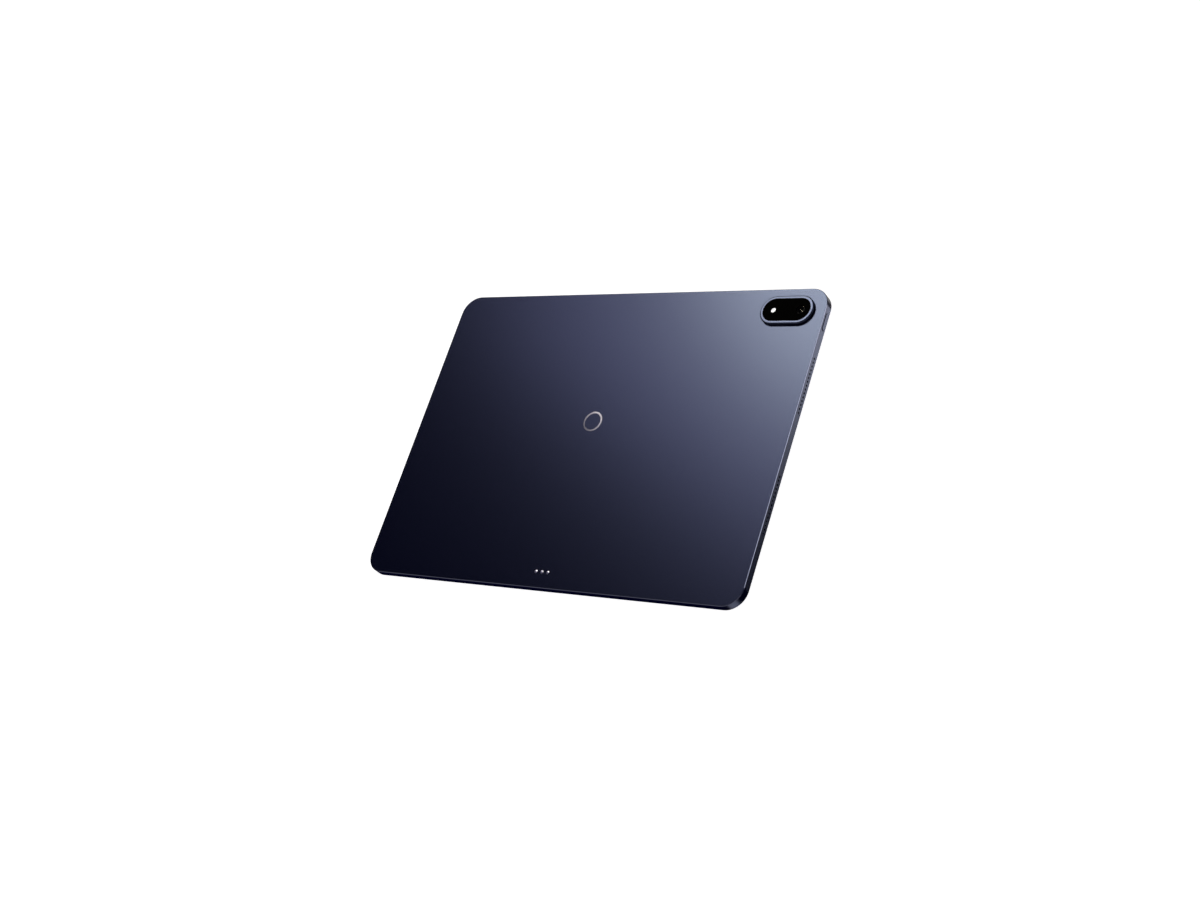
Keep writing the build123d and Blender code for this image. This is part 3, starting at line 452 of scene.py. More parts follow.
# Each finish: its name, colour, grain size in mm, colour variation, roughness range, bump and
# shader settings. A colour is the name of a sidebar colour or a hex value.
FINISHES = {
    # Blasted with fine glass beads, then dyed navy in the oxide. The beads leave a satin that
    # spreads a light into a soft wide glow. Bead marks of 0.05 mm are drawn at 0.3 mm to show.
    "anodised_aluminium": (
        "Bead-blasted navy anodised aluminium", "anodised", 0.3, 0.03, (0.235, 0.265), 0.04, METAL
    ),
    # The same metal cut bright with a diamond tool and dyed again, thinner: a clean thin line
    # that mirrors the studio.
    "diamond_cut_edge": ("Diamond-cut tinted aluminium", "cut_edge", 0.2, 0.02, (0.12, 0.16), 0.01, METAL),
    # The island's flat rim, milled after blasting: a shade tighter in its glow than the rest.
    "milled_rim": ("Fine-milled anodised aluminium", "484F6B", 0.25, 0.02, (0.22, 0.26), 0.02, METAL),
    # Inside drilled and milled openings the tool marks are plain, and the walls are coloured near black:
    # painted shade in the holes.
    "bore_shaded_aluminium": ("Drilled anodised aluminium", "10131E", 0.15, 0.1, (0.40, 0.50), 0.1, METAL),
    # Stainless foil, satin polished, then plated: a soft mirror, its colour lightened across the ring by a
    # painted sheen.
    "satin_steel": (
        "Satin-polished plated stainless steel", "emblem", 0.3, 0.02, (0.23, 0.27), 0.01, METAL
    ),
    # Copper pads plated with white nickel-palladium and tumbled: small bright domes.
    "plated_contact": ("Tumbled palladium-plated copper", "E8E8FF", 0.3, 0.02, (0.30, 0.34), 0.02, METAL),
    # Toughened glass printed black inside and coated against reflection: deep black, with only a
    # faint mirror of strong lights.
    "camera_black_glass": (
        "Black-printed anti-reflective glass", "020203", 4.0, 0.1, (0.03, 0.05), 0.0, {"IOR": 1.015}
    ),
    # The unprinted discs of that glass, ground flat and polished: clear, with a weak reflection.
    "clear_glass": (
        "Polished clear window glass", "060507", 4.0, 0.1, (0.01, 0.03), 0.0, {"Alpha": 0.06, "IOR": 1.3}
    ),
    # Float-polished ion-exchanged glass over a switched-off panel: a deep grey-blue mirror.
    "screen_over_panel": (
        "Ion-exchanged glass over a dark panel", "161A22", 30.0, 0.08, (0.035, 0.05), 0.0, SCREEN
    ),
    # The same glass over the black ink of the border, a shade darker than the panel.
    "screen_over_ink": (
        "Ion-exchanged glass over black ink", "030304", 30.0, 0.05, (0.035, 0.05), 0.0, SCREEN
    ),
    # The liquid-crystal cell between its polarising films: near black, glossy, faintly blue.
    "dark_panel": (
        "Laminated polarising film", "0D0F14", 20.0, 0.1, (0.08, 0.14), 0.0, {"Coat Weight": 0.5}
    ),
    # Moulded optical glass under a many-layer coating: a weak violet and green sheen over a black
    # depth. It is polished, so it has no grain.
    "coated_lens": ("Coated optical glass", "08070D", 0, 0, (0, 0), 0, COATED),
    # Clear silicone moulded with fine ridges over a white lamp: a soft milky white disc, made to glow by a
    # painted emission although the lamp is off.
    "frosted_silicone": ("Frosted moulded silicone", "F4F3F0", 0.4, 0.02, (0.35, 0.45), 0.05, MILKY_GLOW),
    # Moulded black plastic. The spark-eroded mould leaves a matt grain of about 0.1 mm.
    "black_polymer": (
        "Spark-textured black polycarbonate", "0E0E10", 0.1, 0.15, (0.50, 0.62), 0.15, MATT
    ),
    # Thin stainless sheet, stamped and left as rolled: grey, with a faint grain.
    "stamped_steel": ("Rolled stainless sheet", "A8A8AB", 0.25, 0.05, (0.28, 0.40), 0.05, METAL),
    # Soft aluminium sheet pressed to a tray: pale and evenly matt.
    "pressed_aluminium": ("Pressed aluminium sheet", "C4C6CA", 0.4, 0.04, (0.35, 0.45), 0.04, METAL),
    # Sintered magnets with bright nickel plate, tumbled: mirror-like with soft edges.
    "nickel_plate": ("Tumbled nickel plate", "B7B3AA", 0.5, 0.03, (0.16, 0.24), 0.03, METAL),
    # Gold-flashed copper spring strips of a connector: small warm lines.
    "gold_strip": ("Gold-flashed phosphor bronze", "D9B36A", 0.2, 0.04, (0.22, 0.30), 0.02, METAL),
    # Wound copper wire under clear enamel: warm, with fine ridges one wire of 0.15 mm apart.
    "enamelled_copper": ("Enamelled copper winding", "A85A30", 0.15, 0.12, (0.25, 0.38), 0.2, METAL),
    # Matt dark green lacquer screened over copper and glass fibre: nearly black, silky.
    "solder_mask": ("Matt dark solder mask", "12261F", 0.6, 0.25, (0.40, 0.52), 0.1, {"Coat Weight": 0.2}),
    # Copper flex under amber polyimide film: brown and slightly glossy.
    "polyimide_film": (
        "Laminated polyimide film", "4A3216", 1.2, 0.15, (0.30, 0.42), 0.05, {"Coat Weight": 0.3}
    ),
    # Chip packages of filled epoxy, transfer moulded: matt near-black with fine specks.
    "moulded_epoxy": ("Transfer-moulded epoxy", "141416", 0.12, 0.2, (0.55, 0.68), 0.1, {}),
    # Black laminated aluminium foil, deep drawn round the cells: satin with soft dents.
    "pouch_foil": ("Laminated pouch foil", "1E1E21", 6.0, 0.12, (0.32, 0.48), 0.3, {"Metallic": 0.3}),
    # Die-cut acrylic foam tape: black, dull and slightly open.
    "closed_cell_foam": (
        "Die-cut closed-cell foam", "101011", 0.2, 0.3, (0.85, 0.95), 0.3, {"Specular IOR Level": 0.2}
    ),
    # Filled silicone gel pad, cast: pale blue-grey and faintly tacky.
    "thermal_silicone": (
        "Cast thermal silicone", "7C8A96", 0.5, 0.08, (0.55, 0.65), 0.1, {"Subsurface Weight": 0.05}
    ),
    # Sintered ferrite sheet under a clear film: charcoal with a dry sheen.
    "pressed_ferrite": ("Sintered ferrite sheet", "232326", 0.3, 0.15, (0.45, 0.6), 0.1, {"Metallic": 0.2}),
    # Extruded clear acrylic and polyester films: colourless, glossy, with a faint grey edge.
    "clear_sheet": (
        "Extruded clear optical sheet", "C9CFD2", 8.0, 0.03, (0.08, 0.16), 0.02, {"Coat Weight": 0.5}
    ),
    # Voided white polyester film: paper white and matt.
    "white_film": ("Voided white polyester film", "ECECEA", 0.8, 0.03, (0.5, 0.6), 0.05, {}),
    # Stainless gauze woven from 0.05 mm wire, blackened: dark squares between dull wires.
    "woven_gauze": (
        "Blackened woven steel gauze", "2A2B30", 0, 0, (0, 0), 0, {"Metallic": 1.0, "Roughness": 0.45}
    ),
    # Rolled white floor paint, matt and evenly lit, with slow variation over half a metre.
    "painted_floor": ("Painted studio floor", "F4F4F4", 500.0, 0.01, (0.8, 0.9), 0.0, LIT_PAINT),
}
MADE = {}


def finish(kind):
    """The material of a finish. Each is made only once."""
    if kind not in MADE:
        label, colour, size, tint, rough, bump, settings = FINISHES[kind]
        sidebar = bpy.context.scene.tablet_colours
        shade = getattr(sidebar, colour) if colour in sidebar.__annotations__ else linear(colour)
        material, shader = surface(label, shade, settings)
        if size:
            grain(material, shader, size * MM, tint, rough, bump)
        if kind in PATTERNS:
            PATTERNS[kind](material.node_tree, shader)
        MADE[kind] = material
    return MADE[kind]


def painted_sheen_grade(tree, shader):
    """Painted sheen: the inlaid ring's colour goes from smoke to silver over 18 mm, lighter towards +X and
    +Y where the key light's reflection falls.
    """
    place = node(tree, "ShaderNodeTexCoord")
    x, y = middle_of("emblem_ring")
    across = node(tree, "ShaderNodeMapping", links={"Vector": place.outputs["Object"]})
    across.inputs["Location"].default_value = (-x, -y, 0.0)
    parts = node(tree, "ShaderNodeSeparateXYZ", links={"Vector": across.outputs["Vector"]})
    x_and_y = {0: parts.outputs["X"], 1: parts.outputs["Y"]}
    both = node(tree, "ShaderNodeMath", operation="ADD", links=x_and_y)
    limits = {"From Min": -9.0 * MM, "From Max": 9.0 * MM}
    grade = node(tree, "ShaderNodeMapRange", limits, {"Value": both.outputs[0]})
    silver = bpy.context.scene.tablet_colours.emblem
    two_tone(tree, shader, grade.outputs["Result"], linear("8F919B"), silver)


def coating_sheen(tree, shader):
    """The lens coating turns from violet to green towards the rim."""
    rim = node(tree, "ShaderNodeLayerWeight", inputs={"Blend": 0.35})
    two_tone(tree, shader, rim.outputs["Facing"], linear("0A0716"), linear("0C1F1A"))


def gauze_weave(tree, shader):
    """A square weave, drawn at 0.25 mm instead of 0.05 mm so that it shows."""
    place = node(tree, "ShaderNodeTexCoord")
    parts = node(tree, "ShaderNodeSeparateXYZ", links={"Vector": place.outputs["Object"]})
    waves = []
    for axis in ("Y", "Z"):
        along = node(tree, "ShaderNodeMath", operation="MULTIPLY", links={0: parts.outputs[axis]})
        along.inputs[1].default_value = 2 * pi / (0.25 * MM)
        waves.append(node(tree, "ShaderNodeMath", operation="SINE", links={0: along.outputs[0]}))
    both = {0: waves[0].outputs[0], 1: waves[1].outputs[0]}
    over = node(tree, "ShaderNodeMath", operation="MAXIMUM", links=both)
    two_tone(tree, shader, over.outputs[0], linear("020203"), linear("3A3C44"))


PATTERNS = {"satin_steel": painted_sheen_grade, "coated_lens": coating_sheen, "woven_gauze": gauze_weave}


# ---------------------------------------------------------------- housing
class TABLET_OT_housing(Operator):
    """Make the metal housing with its bright chamfer, grilles and openings"""

    bl_idname = "tablet.make_housing"
    bl_label = "Make Housing"

    def execute(self, context):
        sizes = context.scene.tablet_sizes
        shell = self.shell(sizes)
        coat(shell, "anodised_aluminium")
        paint(shell, finish("diamond_cut_edge"), lambda centre, normal: 0.3 < normal.z < 0.9)
        cut(shell, self.openings(sizes))
        smooth(shell)
        fit(shell, "tablet", "anodised_aluminium", "rear_housing")
        return {"FINISHED"}

    def shell(self, sizes):
        """The bare tray: outside wall, front rim, glass recess and cavity."""
        rim, ledge = 0.9 * MM, 0.9 * MM
        chamfer = sizes.back_chamfer
        section = [
            (chamfer + 2 * MM, BACK),
            (chamfer, BACK),
            (0, BACK - chamfer),
            (0, METAL_FRONT + 0.15 * MM),
            (0.15 * MM, METAL_FRONT),
            (rim, METAL_FRONT),
            (rim, ledge),
            (WALL, ledge),
            (WALL, CAVITY_TOP),
            (WALL + 2 * MM, CAVITY_TOP),
        ]
        line = eased(section, sizes.softening)
        return slab("housing_shell", line, LENGTH, WIDTH, sizes.corner_radius)

    def openings(self, sizes):
        """Every opening as a closed cutter: grilles, microphones, buttons, port and back."""
        half_length, half_width = LENGTH / 2, WIDTH / 2
        flare = sizes.hole_flare
        # The walls of every opening take this near-black finish: painted shade inside the holes.
        bore_shade = finish("bore_shaded_aluminium")
        span = sizes.hole_pitch * (sizes.hole_count - 1)
        cutters = []
        for side in (-1, 1):
            turn = facing((side, 0, 0)).to_euler()
            for middle in (-sizes.grille_centre, sizes.grille_centre):
                hole = flared_hole("grille_hole", sizes.hole_radius, flare)
                start = (side * half_length, middle - span / 2, SIDE_AXIS)
                row(hole, bore_shade, sizes.hole_count, start, (0, sizes.hole_pitch, 0), turn)
                cutters.append(hole)
        low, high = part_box("microphones")
        apart = high.x - low.x - MICROPHONE_LENGTH
        hole = flared_hole("microphone_hole", 0.4 * MM, 0.08 * MM)
        turn = facing((0, 1, 0)).to_euler()
        row(hole, bore_shade, 2, (-apart / 2, half_width, SIDE_AXIS), (apart, 0, 0), turn)
        cutters.append(hole)
        for node_name, wall in (("power_button", (1, 0, 0)), ("volume_rocker", (0, 1, 0))):
            long = CAP_LENGTHS[node_name]
            slot = slot_cutter(node_name + "_slot", long, CAP_HEIGHT, BUTTON_GAP, flare)
            set_in_wall(slot, node_name, wall)
            cutters.append(slot)
        low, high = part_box("usb_connector_shell")
        slot = slot_cutter("port_slot", high.y - low.y, high.z - low.z, PORT_GAP, flare * 2)
        set_in_wall(slot, "usb_connector_shell", (-1, 0, 0))
        cutters.append(slot)
        cutters += back_cutters()
        for cutter in cutters:
            if not cutter.data.materials:
                cutter.data.materials.append(bore_shade)
        return cutters


def facing(direction):
    """The turn that stands a flat-drawn part in a side wall: its top looks along the direction and
    its long side stays level."""
    top = Vector(direction)
    up = Vector((0, 0, 1))
    return Matrix((up.cross(top), up, top)).transposed()


def set_in_wall(piece, node_name, wall):
    """Moves a flat-drawn part to its place in a side wall, its height zero on the wall's face."""
    low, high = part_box(node_name)
    centre = (low + high) / 2
    centre.z = SIDE_AXIS
    if wall[0]:
        centre.x = wall[0] * LENGTH / 2
    else:
        centre.y = wall[1] * WIDTH / 2
    piece.data.transform(Matrix.Translation(centre) @ facing(wall).to_4x4())


def flared_hole(name, radius, flare):
    """A cutter for a round hole, its mouth at height zero, its axis upright."""
    depth = WALL + 0.4 * MM
    section = [(0, -depth), (radius, -depth), (radius, -flare), (radius + flare, 0)]
    section += [(radius + flare, 0.3 * MM), (0, 0.3 * MM)]
    return turned(name, section, steps=20)


def slot_cutter(name, length, width, gap, flare):
    """A cutter for a stadium-shaped slot with its mouth at height zero."""
    depth = WALL + 0.4 * MM
    section = [(-gap, -depth), (-gap, -flare), (-gap - flare, 0), (-gap - flare, 0.5 * MM)]
    return pill(name, section, length, width)


def middle_of(node_name):
    """The middle of a node, seen from above."""
    low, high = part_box(node_name)
    return ((low.x + high.x) / 2, (low.y + high.y) / 2)


def back_cutters():
    """Cutters for the emblem groove, the three contacts and the camera neck."""
    low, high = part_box("emblem_ring")
    outer = (high.x - low.x) / 2 + EMBLEM_GAP
    inner = outer - EMBLEM_BAND - 2 * EMBLEM_GAP
    above = BACK + 0.5 * MM
    section = [(outer, low.z), (outer, above), (inner, above), (inner, low.z)]
    groove = hoop("emblem_groove", section, "emblem_ring")
    hole = bar("contact_hole", COLLAR_RADIUS, 5 * MM, above)
    row(hole, finish("bore_shaded_aluminium"), 3, *contact_places())
    length, width = spread("camera_ring")
    section = [(NECK_STEP - 0.2 * MM, 5 * MM), (NECK_STEP - 0.2 * MM, above)]
    neck = pill("neck_hole", section, length, width, middle_of("camera_ring"))
    return [groove, hole, neck]


def spread(node_name):
    """Length and width of a node, seen from above."""
    low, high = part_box(node_name)
    return high.x - low.x, high.y - low.y


def contact_places():
    """Where the first contact stands, and the step from one to the next."""
    pitch = (spread("keyboard_contacts")[0] - 2 * CONTACT_RADIUS) / 2
    x, y = middle_of("keyboard_contacts")
    return (x - pitch, y, 0), (pitch, 0, 0)


# ---------------------------------------------------------------- emblem
class TABLET_OT_emblem(Operator):
    """Make the polished ring that is inlaid in the back"""

    bl_idname = "tablet.make_emblem"
    bl_label = "Make Emblem Ring"

    def execute(self, context):
        low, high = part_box("emblem_ring")
        outer = (high.x - low.x) / 2
        inner = outer - EMBLEM_BAND
        ease = 0.05 * MM
        section = [
            (outer, low.z),
            (outer, high.z - ease),
            (outer - ease, high.z),
            (inner + ease, high.z),
            (inner, high.z - ease),
            (inner, low.z),
        ]
        ring = hoop("emblem_inlay", section, "emblem_ring")
        coat(ring, "satin_steel")
        smooth(ring, 20)
        fit(ring, "tablet", "polished_metal", "emblem_ring")
        return {"FINISHED"}


# ---------------------------------------------------------------- contacts
class TABLET_OT_contacts(Operator):
    """Make the three keyboard contacts and the collars that hold them"""

    bl_idname = "tablet.make_contacts"
    bl_label = "Make Contacts"

    def execute(self, context):
        low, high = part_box("keyboard_contacts")
        sphere = CONTACT_RADIUS / sin(CONTACT_LEAN)
        dome = [(0, low.z), (CONTACT_RADIUS, low.z)]
        for step in range(9):
            lean = CONTACT_LEAN * (1 - step / 8)
            dome.append((sphere * sin(lean), high.z - sphere * (1 - cos(lean))))
        pads = turned("contact_pads", dome)
        row(pads, finish("plated_contact"), 3, *contact_places())
        smooth(pads, 40)
        fit(pads, "tablet", "gold_plated_contact", "keyboard_contacts")

        low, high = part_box("contact_insulator")
        bore, rim = CONTACT_RADIUS + 0.02 * MM, COLLAR_RADIUS - 0.02 * MM
        foot, shoulder, ease = CAVITY_TOP - 0.1 * MM, high.z - 0.05 * MM, 0.05 * MM
        section = [(rim, foot), (rim, shoulder), (rim - ease, high.z)]
        section += [(bore + ease, high.z), (bore, shoulder), (bore, foot), (rim, foot)]
        collar = skin("collar", [circle(r, z) for r, z in section], caps=False)
        row(collar, finish("black_polymer"), 3, *contact_places())
        inner = 0.3 * MM
        section = [(inner, low.z), (0, low.z), (0, CAVITY_TOP), (inner, CAVITY_TOP)]
        size, centre = spread("contact_insulator"), middle_of("keyboard_contacts")
        strip = pill("contact_strip", eased(section, 0.1 * MM), *size, centre)
        coat(strip, "black_polymer")
        bore_cutter = bar("bore", bore, 4 * MM, 6 * MM)
        row(bore_cutter, finish("black_polymer"), 3, *contact_places())
        cut(strip, [bore_cutter])
        holder = join("contact_holder", [strip, collar])
        smooth(holder)
        fit(holder, "tablet", "black_plastic", "contact_insulator")
        return {"FINISHED"}


# ---------------------------------------------------------------- camera island
class TABLET_OT_island(Operator):
    """Make the raised camera island: metal ring, black window and flash"""

    bl_idname = "tablet.make_island"
    bl_label = "Make Camera Island"

    def execute(self, context):
        self.ring()
        self.window()
        self.flash()
        return {"FINISHED"}

    def ring(self):
        low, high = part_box("camera_ring")
        glass_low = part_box("camera_window")[0]
        neck, neck_inner = NECK_STEP, NECK_STEP + 1.0 * MM
        bezel = glass_low.z - 0.8 * MM
        corner = ISLAND_SHOULDER
        turns = [step / 6 * pi / 2 for step in range(7)]
        shoulder = [(corner * (1 - cos(t)), high.z - corner * (1 - sin(t))) for t in turns]
        section = [
            (neck_inner + 0.5 * MM, bezel),
            (neck_inner, bezel),
            (neck_inner, low.z),
            (neck, low.z),
            (neck, BACK),
            (0, BACK),
            *shoulder,
            (ISLAND_RIM, high.z),
            (ISLAND_RIM, glass_low.z),
            (ISLAND_RIM + 1 * MM, glass_low.z),
        ]
        length, width = spread("camera_ring")
        ring = pill("island_ring", eased(section, 0.06 * MM), length, width, middle_of("camera_ring"))
        coat(ring, "anodised_aluminium")
        top = high.z - 0.01 * MM
        paint(ring, finish("milled_rim"), lambda centre, normal: normal.z > 0.99 and centre.z > top)
        holes = []
        bottom, top = bezel - 1 * MM, glass_low.z + 0.5 * MM
        # The bore walls round the lens and the flash take the near-black bore finish: painted shade.
        for node_name, radius in (("rear_camera_lens_carrier", 4.1 * MM), ("flash_diffuser", 2.05 * MM)):
            hole = bar("bezel_hole", radius, bottom, top, middle_of(node_name))
            coat(hole, "bore_shaded_aluminium")
            holes.append(hole)
        cut(ring, holes)
        smooth(ring)
        fit(ring, "tablet", "anodised_aluminium", "camera_ring")

    def window(self):
        low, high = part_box("camera_window")
        ease = 0.12 * MM
        section = eased([(1 * MM, low.z), (0, low.z), (0, high.z), (1 * MM, high.z)], ease, 5)
        size, centre = spread("camera_window"), middle_of("camera_window")
        window = pill("island_glass", section, *size, centre)
        coat(window, "camera_black_glass")
        lens, flash = middle_of("rear_camera_lens_carrier"), middle_of("flash_diffuser")
        ports = ((lens, 2.9 * MM), (flash, 1.75 * MM))
        fit(glass_ports(window, ports, low.z, high.z), "tablet", "camera_glass", "camera_window")

    def flash(self):
        low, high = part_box("flash_diffuser")
        outer = (high.x - low.x) / 2
        ease = 0.05 * MM
        section = [(0, low.z), (outer - ease, low.z), (outer, low.z + ease), (outer, high.z - 0.1 * MM)]
        top = high.z - 0.02 * MM
        ridges = 7
        for ridge in range(ridges):
            section.append((outer * (1 - (ridge + 0.1) / ridges), top))
            section.append((outer * (1 - (ridge + 0.9) / ridges), top - 0.1 * MM))
        section.append((0, top - 0.05 * MM))
        diffuser = turned("flash_lens", section, middle_of("flash_diffuser"), 64)
        coat(diffuser, "frosted_silicone")
        smooth(diffuser, 50)
        fit(diffuser, "tablet", "diffuser_plastic", "flash_diffuser")


def glass_ports(sheet, ports, bottom, top):
    """Leaves clear discs in a printed glass sheet, so that what lies behind them shows."""
    pieces = [sheet]
    holes = []
    for centre, radius in ports:
        hole = bar("port_hole", radius, bottom - 1 * MM, top + 1 * MM, centre, 64)
        hole.data.materials.append(sheet.data.materials[0])
        holes.append(hole)
        disc = bar("clear_disc", radius - 0.01 * MM, bottom, top, centre, 64)
        coat(disc, "clear_glass")
        pieces.append(disc)
    cut(sheet, holes)
    joined = join(sheet.name, pieces)
    smooth(joined)
    return joined


# ---------------------------------------------------------------- lens
class TABLET_OT_lens(Operator):
    """Make the focusing lens barrel and its coated glass, which travel together"""

    bl_idname = "tablet.make_lens"
    bl_label = "Make Lens"

    def execute(self, context):
        low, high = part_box("rear_camera_lens_carrier")
        glass_low, glass_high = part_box("rear_camera_lenses")
        outer, bore = (high.x - low.x) / 2, (glass_high.x - glass_low.x) / 2
        bore_wall = bore + 0.02 * MM
        section = [(bore_wall, low.z), (outer - 0.1 * MM, low.z), (outer, low.z + 0.1 * MM)]
        section += [(outer, high.z - 0.2 * MM), (outer - 0.2 * MM, high.z)]
        step_count = 4
        for step in range(step_count):
            radius = outer - 0.35 * MM - step * 0.2 * MM
            depth = high.z - step * 0.07 * MM
            section += [(radius, depth), (radius, depth - 0.07 * MM)]
        section += [(bore - 0.4 * MM, high.z - 0.28 * MM), (bore - 0.4 * MM, high.z - 0.36 * MM)]
        section += [(bore_wall, high.z - 0.45 * MM)]
        barrel = hoop("lens_barrel", section, "rear_camera_lens_carrier", 64)
        coat(barrel, "black_polymer")
        smooth(barrel)
        fit(barrel, "autofocus_carrier", "black_plastic", "rear_camera_lens_carrier")

        front = self.element("front_element", bore, glass_high.z - 0.5 * MM, glass_high.z, 0.32 * MM)
        rear = self.element("rear_element", bore, glass_low.z, glass_low.z + 0.7 * MM, 0.2 * MM)
        lenses = join("lens_elements", [front, rear])
        smooth(lenses, 40)
        fit(lenses, "autofocus_carrier", "lens_glass", "rear_camera_lenses")
        return {"FINISHED"}

    def element(self, name, radius, bottom, top, sag):
        """One glass element: flat below, domed above, with a ground edge."""
        section = [(0, bottom), (radius, bottom), (radius, top - sag)]
        for step in range(1, 11):
            share = 1 - step / 10
            section.append((radius * 0.96 * share, top - sag * share**2))
        piece = turned(name, section, middle_of("rear_camera_lens_carrier"), 64)
        coat(piece, "coated_lens")
        return piece


# ---------------------------------------------------------------- buttons
class TABLET_OT_buttons(Operator):
    """Make the power button and the volume rocker"""

    bl_idname = "tablet.make_buttons"
    bl_label = "Make Buttons"

    def execute(self, context):
        power = self.cap("power_cap", CAP_LENGTHS["power_button"], 0.1 * MM, 3.4 * MM, (0,), 2.4 * MM)
        set_in_wall(power, "power_button", (1, 0, 0))
        smooth(power)
        fit(power, "power_button", "anodised_aluminium", "power_button")

        rocker = self.cap(
            "rocker_cap", CAP_LENGTHS["volume_rocker"], 0.4 * MM, 3.2 * MM, (-8 * MM, 8 * MM), 2 * MM
        )
        back = -WALL - 0.9 * MM
        section = [(0, back - 1.6 * MM), (0, back + 0.05 * MM)]
        lug = slab("lug", section, 2 * MM, 2.4 * MM, 0.1 * MM)
        coat(lug, "anodised_aluminium")
        pin_hole = bar("pin_hole", 0.45 * MM, -3 * MM, 3 * MM)
        lie_flat = Matrix.Rotation(radians(90), 4, "X")
        pin_hole.data.transform(Matrix.Translation((0, 0, back - 0.8 * MM)) @ lie_flat)
        coat(pin_hole, "bore_shaded_aluminium")
        cut(lug, [pin_hole])
        rocker = join("rocker_cap", [rocker, lug])
        set_in_wall(rocker, "volume_rocker", (0, 1, 0))
        smooth(rocker)
        fit(rocker, "volume_rocker", "anodised_aluminium", "volume_rocker")
        return {"FINISHED"}

    def cap(self, name, length, flange_gap, flange_width, stems, overhang):
        """A button drawn flat: rounded cap, retaining flange behind the wall, and stems."""
        flange_top = -WALL - flange_gap
        section = [(0, flange_top - 0.1 * MM), (0, BUTTON_PROUD), (1.1 * MM, BUTTON_PROUD)]
        top = pill(name, eased(section, 0.22 * MM, 6), length, CAP_HEIGHT)
        section = [(0, flange_top - 0.5 * MM), (0, flange_top)]
        flange = slab("flange", section, length + overhang, flange_width, 0.6 * MM)
        pieces = [top, flange]
        for along in stems:
            low_end, high_end = flange_top - 0.9 * MM, flange_top - 0.45 * MM
            stem = [(0, low_end), (0.65 * MM, low_end), (0.75 * MM, low_end + 0.1 * MM)]
            pieces.append(turned("stem", stem + [(0.75 * MM, high_end), (0, high_end)], (along, 0)))
        for piece in pieces:
            coat(piece, "anodised_aluminium")
        return join(name, pieces)


# ---------------------------------------------------------------- front glass
class TABLET_OT_front_glass(Operator):
    """Make the front glass, with its rounded rim, printed border and camera port"""

    bl_idname = "tablet.make_front_glass"
    bl_label = "Make Front Glass"

    def execute(self, context):
        sizes = context.scene.tablet_sizes
        low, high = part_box("cover_glass")
        length, width = spread("cover_glass")
        radius = sizes.corner_radius - (LENGTH - length) / 2
        section = [(1 * MM, high.z), (0, high.z), (0, low.z), (0.9 * MM, low.z)]
        rings = rounds(eased(section, GLASS_EASE, 6), length, width, radius)
        rings.append(outline(sizes.picture_length, sizes.picture_width, sizes.picture_radius, low.z))
        glass = skin("front_pane", rings)
        coat(glass, "screen_over_ink")

        def in_picture(centre, normal):
            return normal.z < -0.99 and abs(centre.y) < width / 3 and abs(centre.x) < 1 * MM

        paint(glass, finish("screen_over_panel"), in_picture)
        camera, sensor = middle_of("front_camera_lens"), middle_of("ambient_light_sensor")
        ports = ((camera, 1.1 * MM), (sensor, 0.7 * MM))
        fit(glass_ports(glass, ports, low.z, high.z), "tablet", "front_glass", "cover_glass")
        return {"FINISHED"}


# ---------------------------------------------------------------- port
class TABLET_OT_port(Operator):
    """Make the connector port: drawn steel shell, tongue and its spring strips"""

    bl_idname = "tablet.make_port"
    bl_label = "Make Port"

    def execute(self, context):
        low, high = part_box("usb_connector_shell")
        mouth = LENGTH / 2 + low.x
        length, width = high.y - low.y, high.z - low.z
        deep = -mouth - (high.x - low.x)
        front = -mouth
        lip = 0.1 * MM
        section = [
            (0, deep),
            (0, front - lip),
            (lip * 0.3, front - lip * 0.3),
            (lip, front),
            (PORT_SHELL - lip, front),
            (PORT_SHELL, front - lip),
            (PORT_SHELL, deep),
            (0, deep),
        ]
        shell = pill("port_shell", section, length, width, caps=False)
        coat(shell, "stamped_steel")
        set_in_wall(shell, "usb_connector_shell", (-1, 0, 0))
        smooth(shell)
        fit(shell, "tablet", "steel_sheet", "usb_connector_shell")

        tongue_low, tongue_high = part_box("usb_connector_tongue")
        tip = front - (tongue_low.x - low.x)
        base = front - 5.4 * MM
        gap = PORT_SHELL + 0.02 * MM
        block = pill("tongue", [(gap, deep), (gap, base - 0.1 * MM), (gap + 0.1 * MM, base)], length, width)
        section = [(0, base - 0.1 * MM), (0, tip - 0.25 * MM), (0.1 * MM, tip - 0.08 * MM), (0.2 * MM, tip)]
        blade = slab("blade", section, 6.69 * MM, 0.7 * MM, 0.2 * MM)
        for piece in (block, blade):
            coat(piece, "black_polymer")
        pieces = [block, blade]
        for side in (-1, 1):
            section = [(0, base + 0.1 * MM), (0, tip - 0.5 * MM)]
            centre = (0, side * 0.33 * MM)
            strip = slab("strip", section, 0.26 * MM, 0.1 * MM, 0.03 * MM, centre, steps=3)
            pieces.append(row(strip, finish("gold_strip"), 12, (-2.75 * MM, 0, 0), (0.5 * MM, 0, 0)))
        tongue = join("port_tongue", pieces)
        set_in_wall(tongue, "usb_connector_shell", (-1, 0, 0))
        smooth(tongue)
        fit(tongue, "tablet", "black_plastic", "usb_connector_tongue")
        return {"FINISHED"}


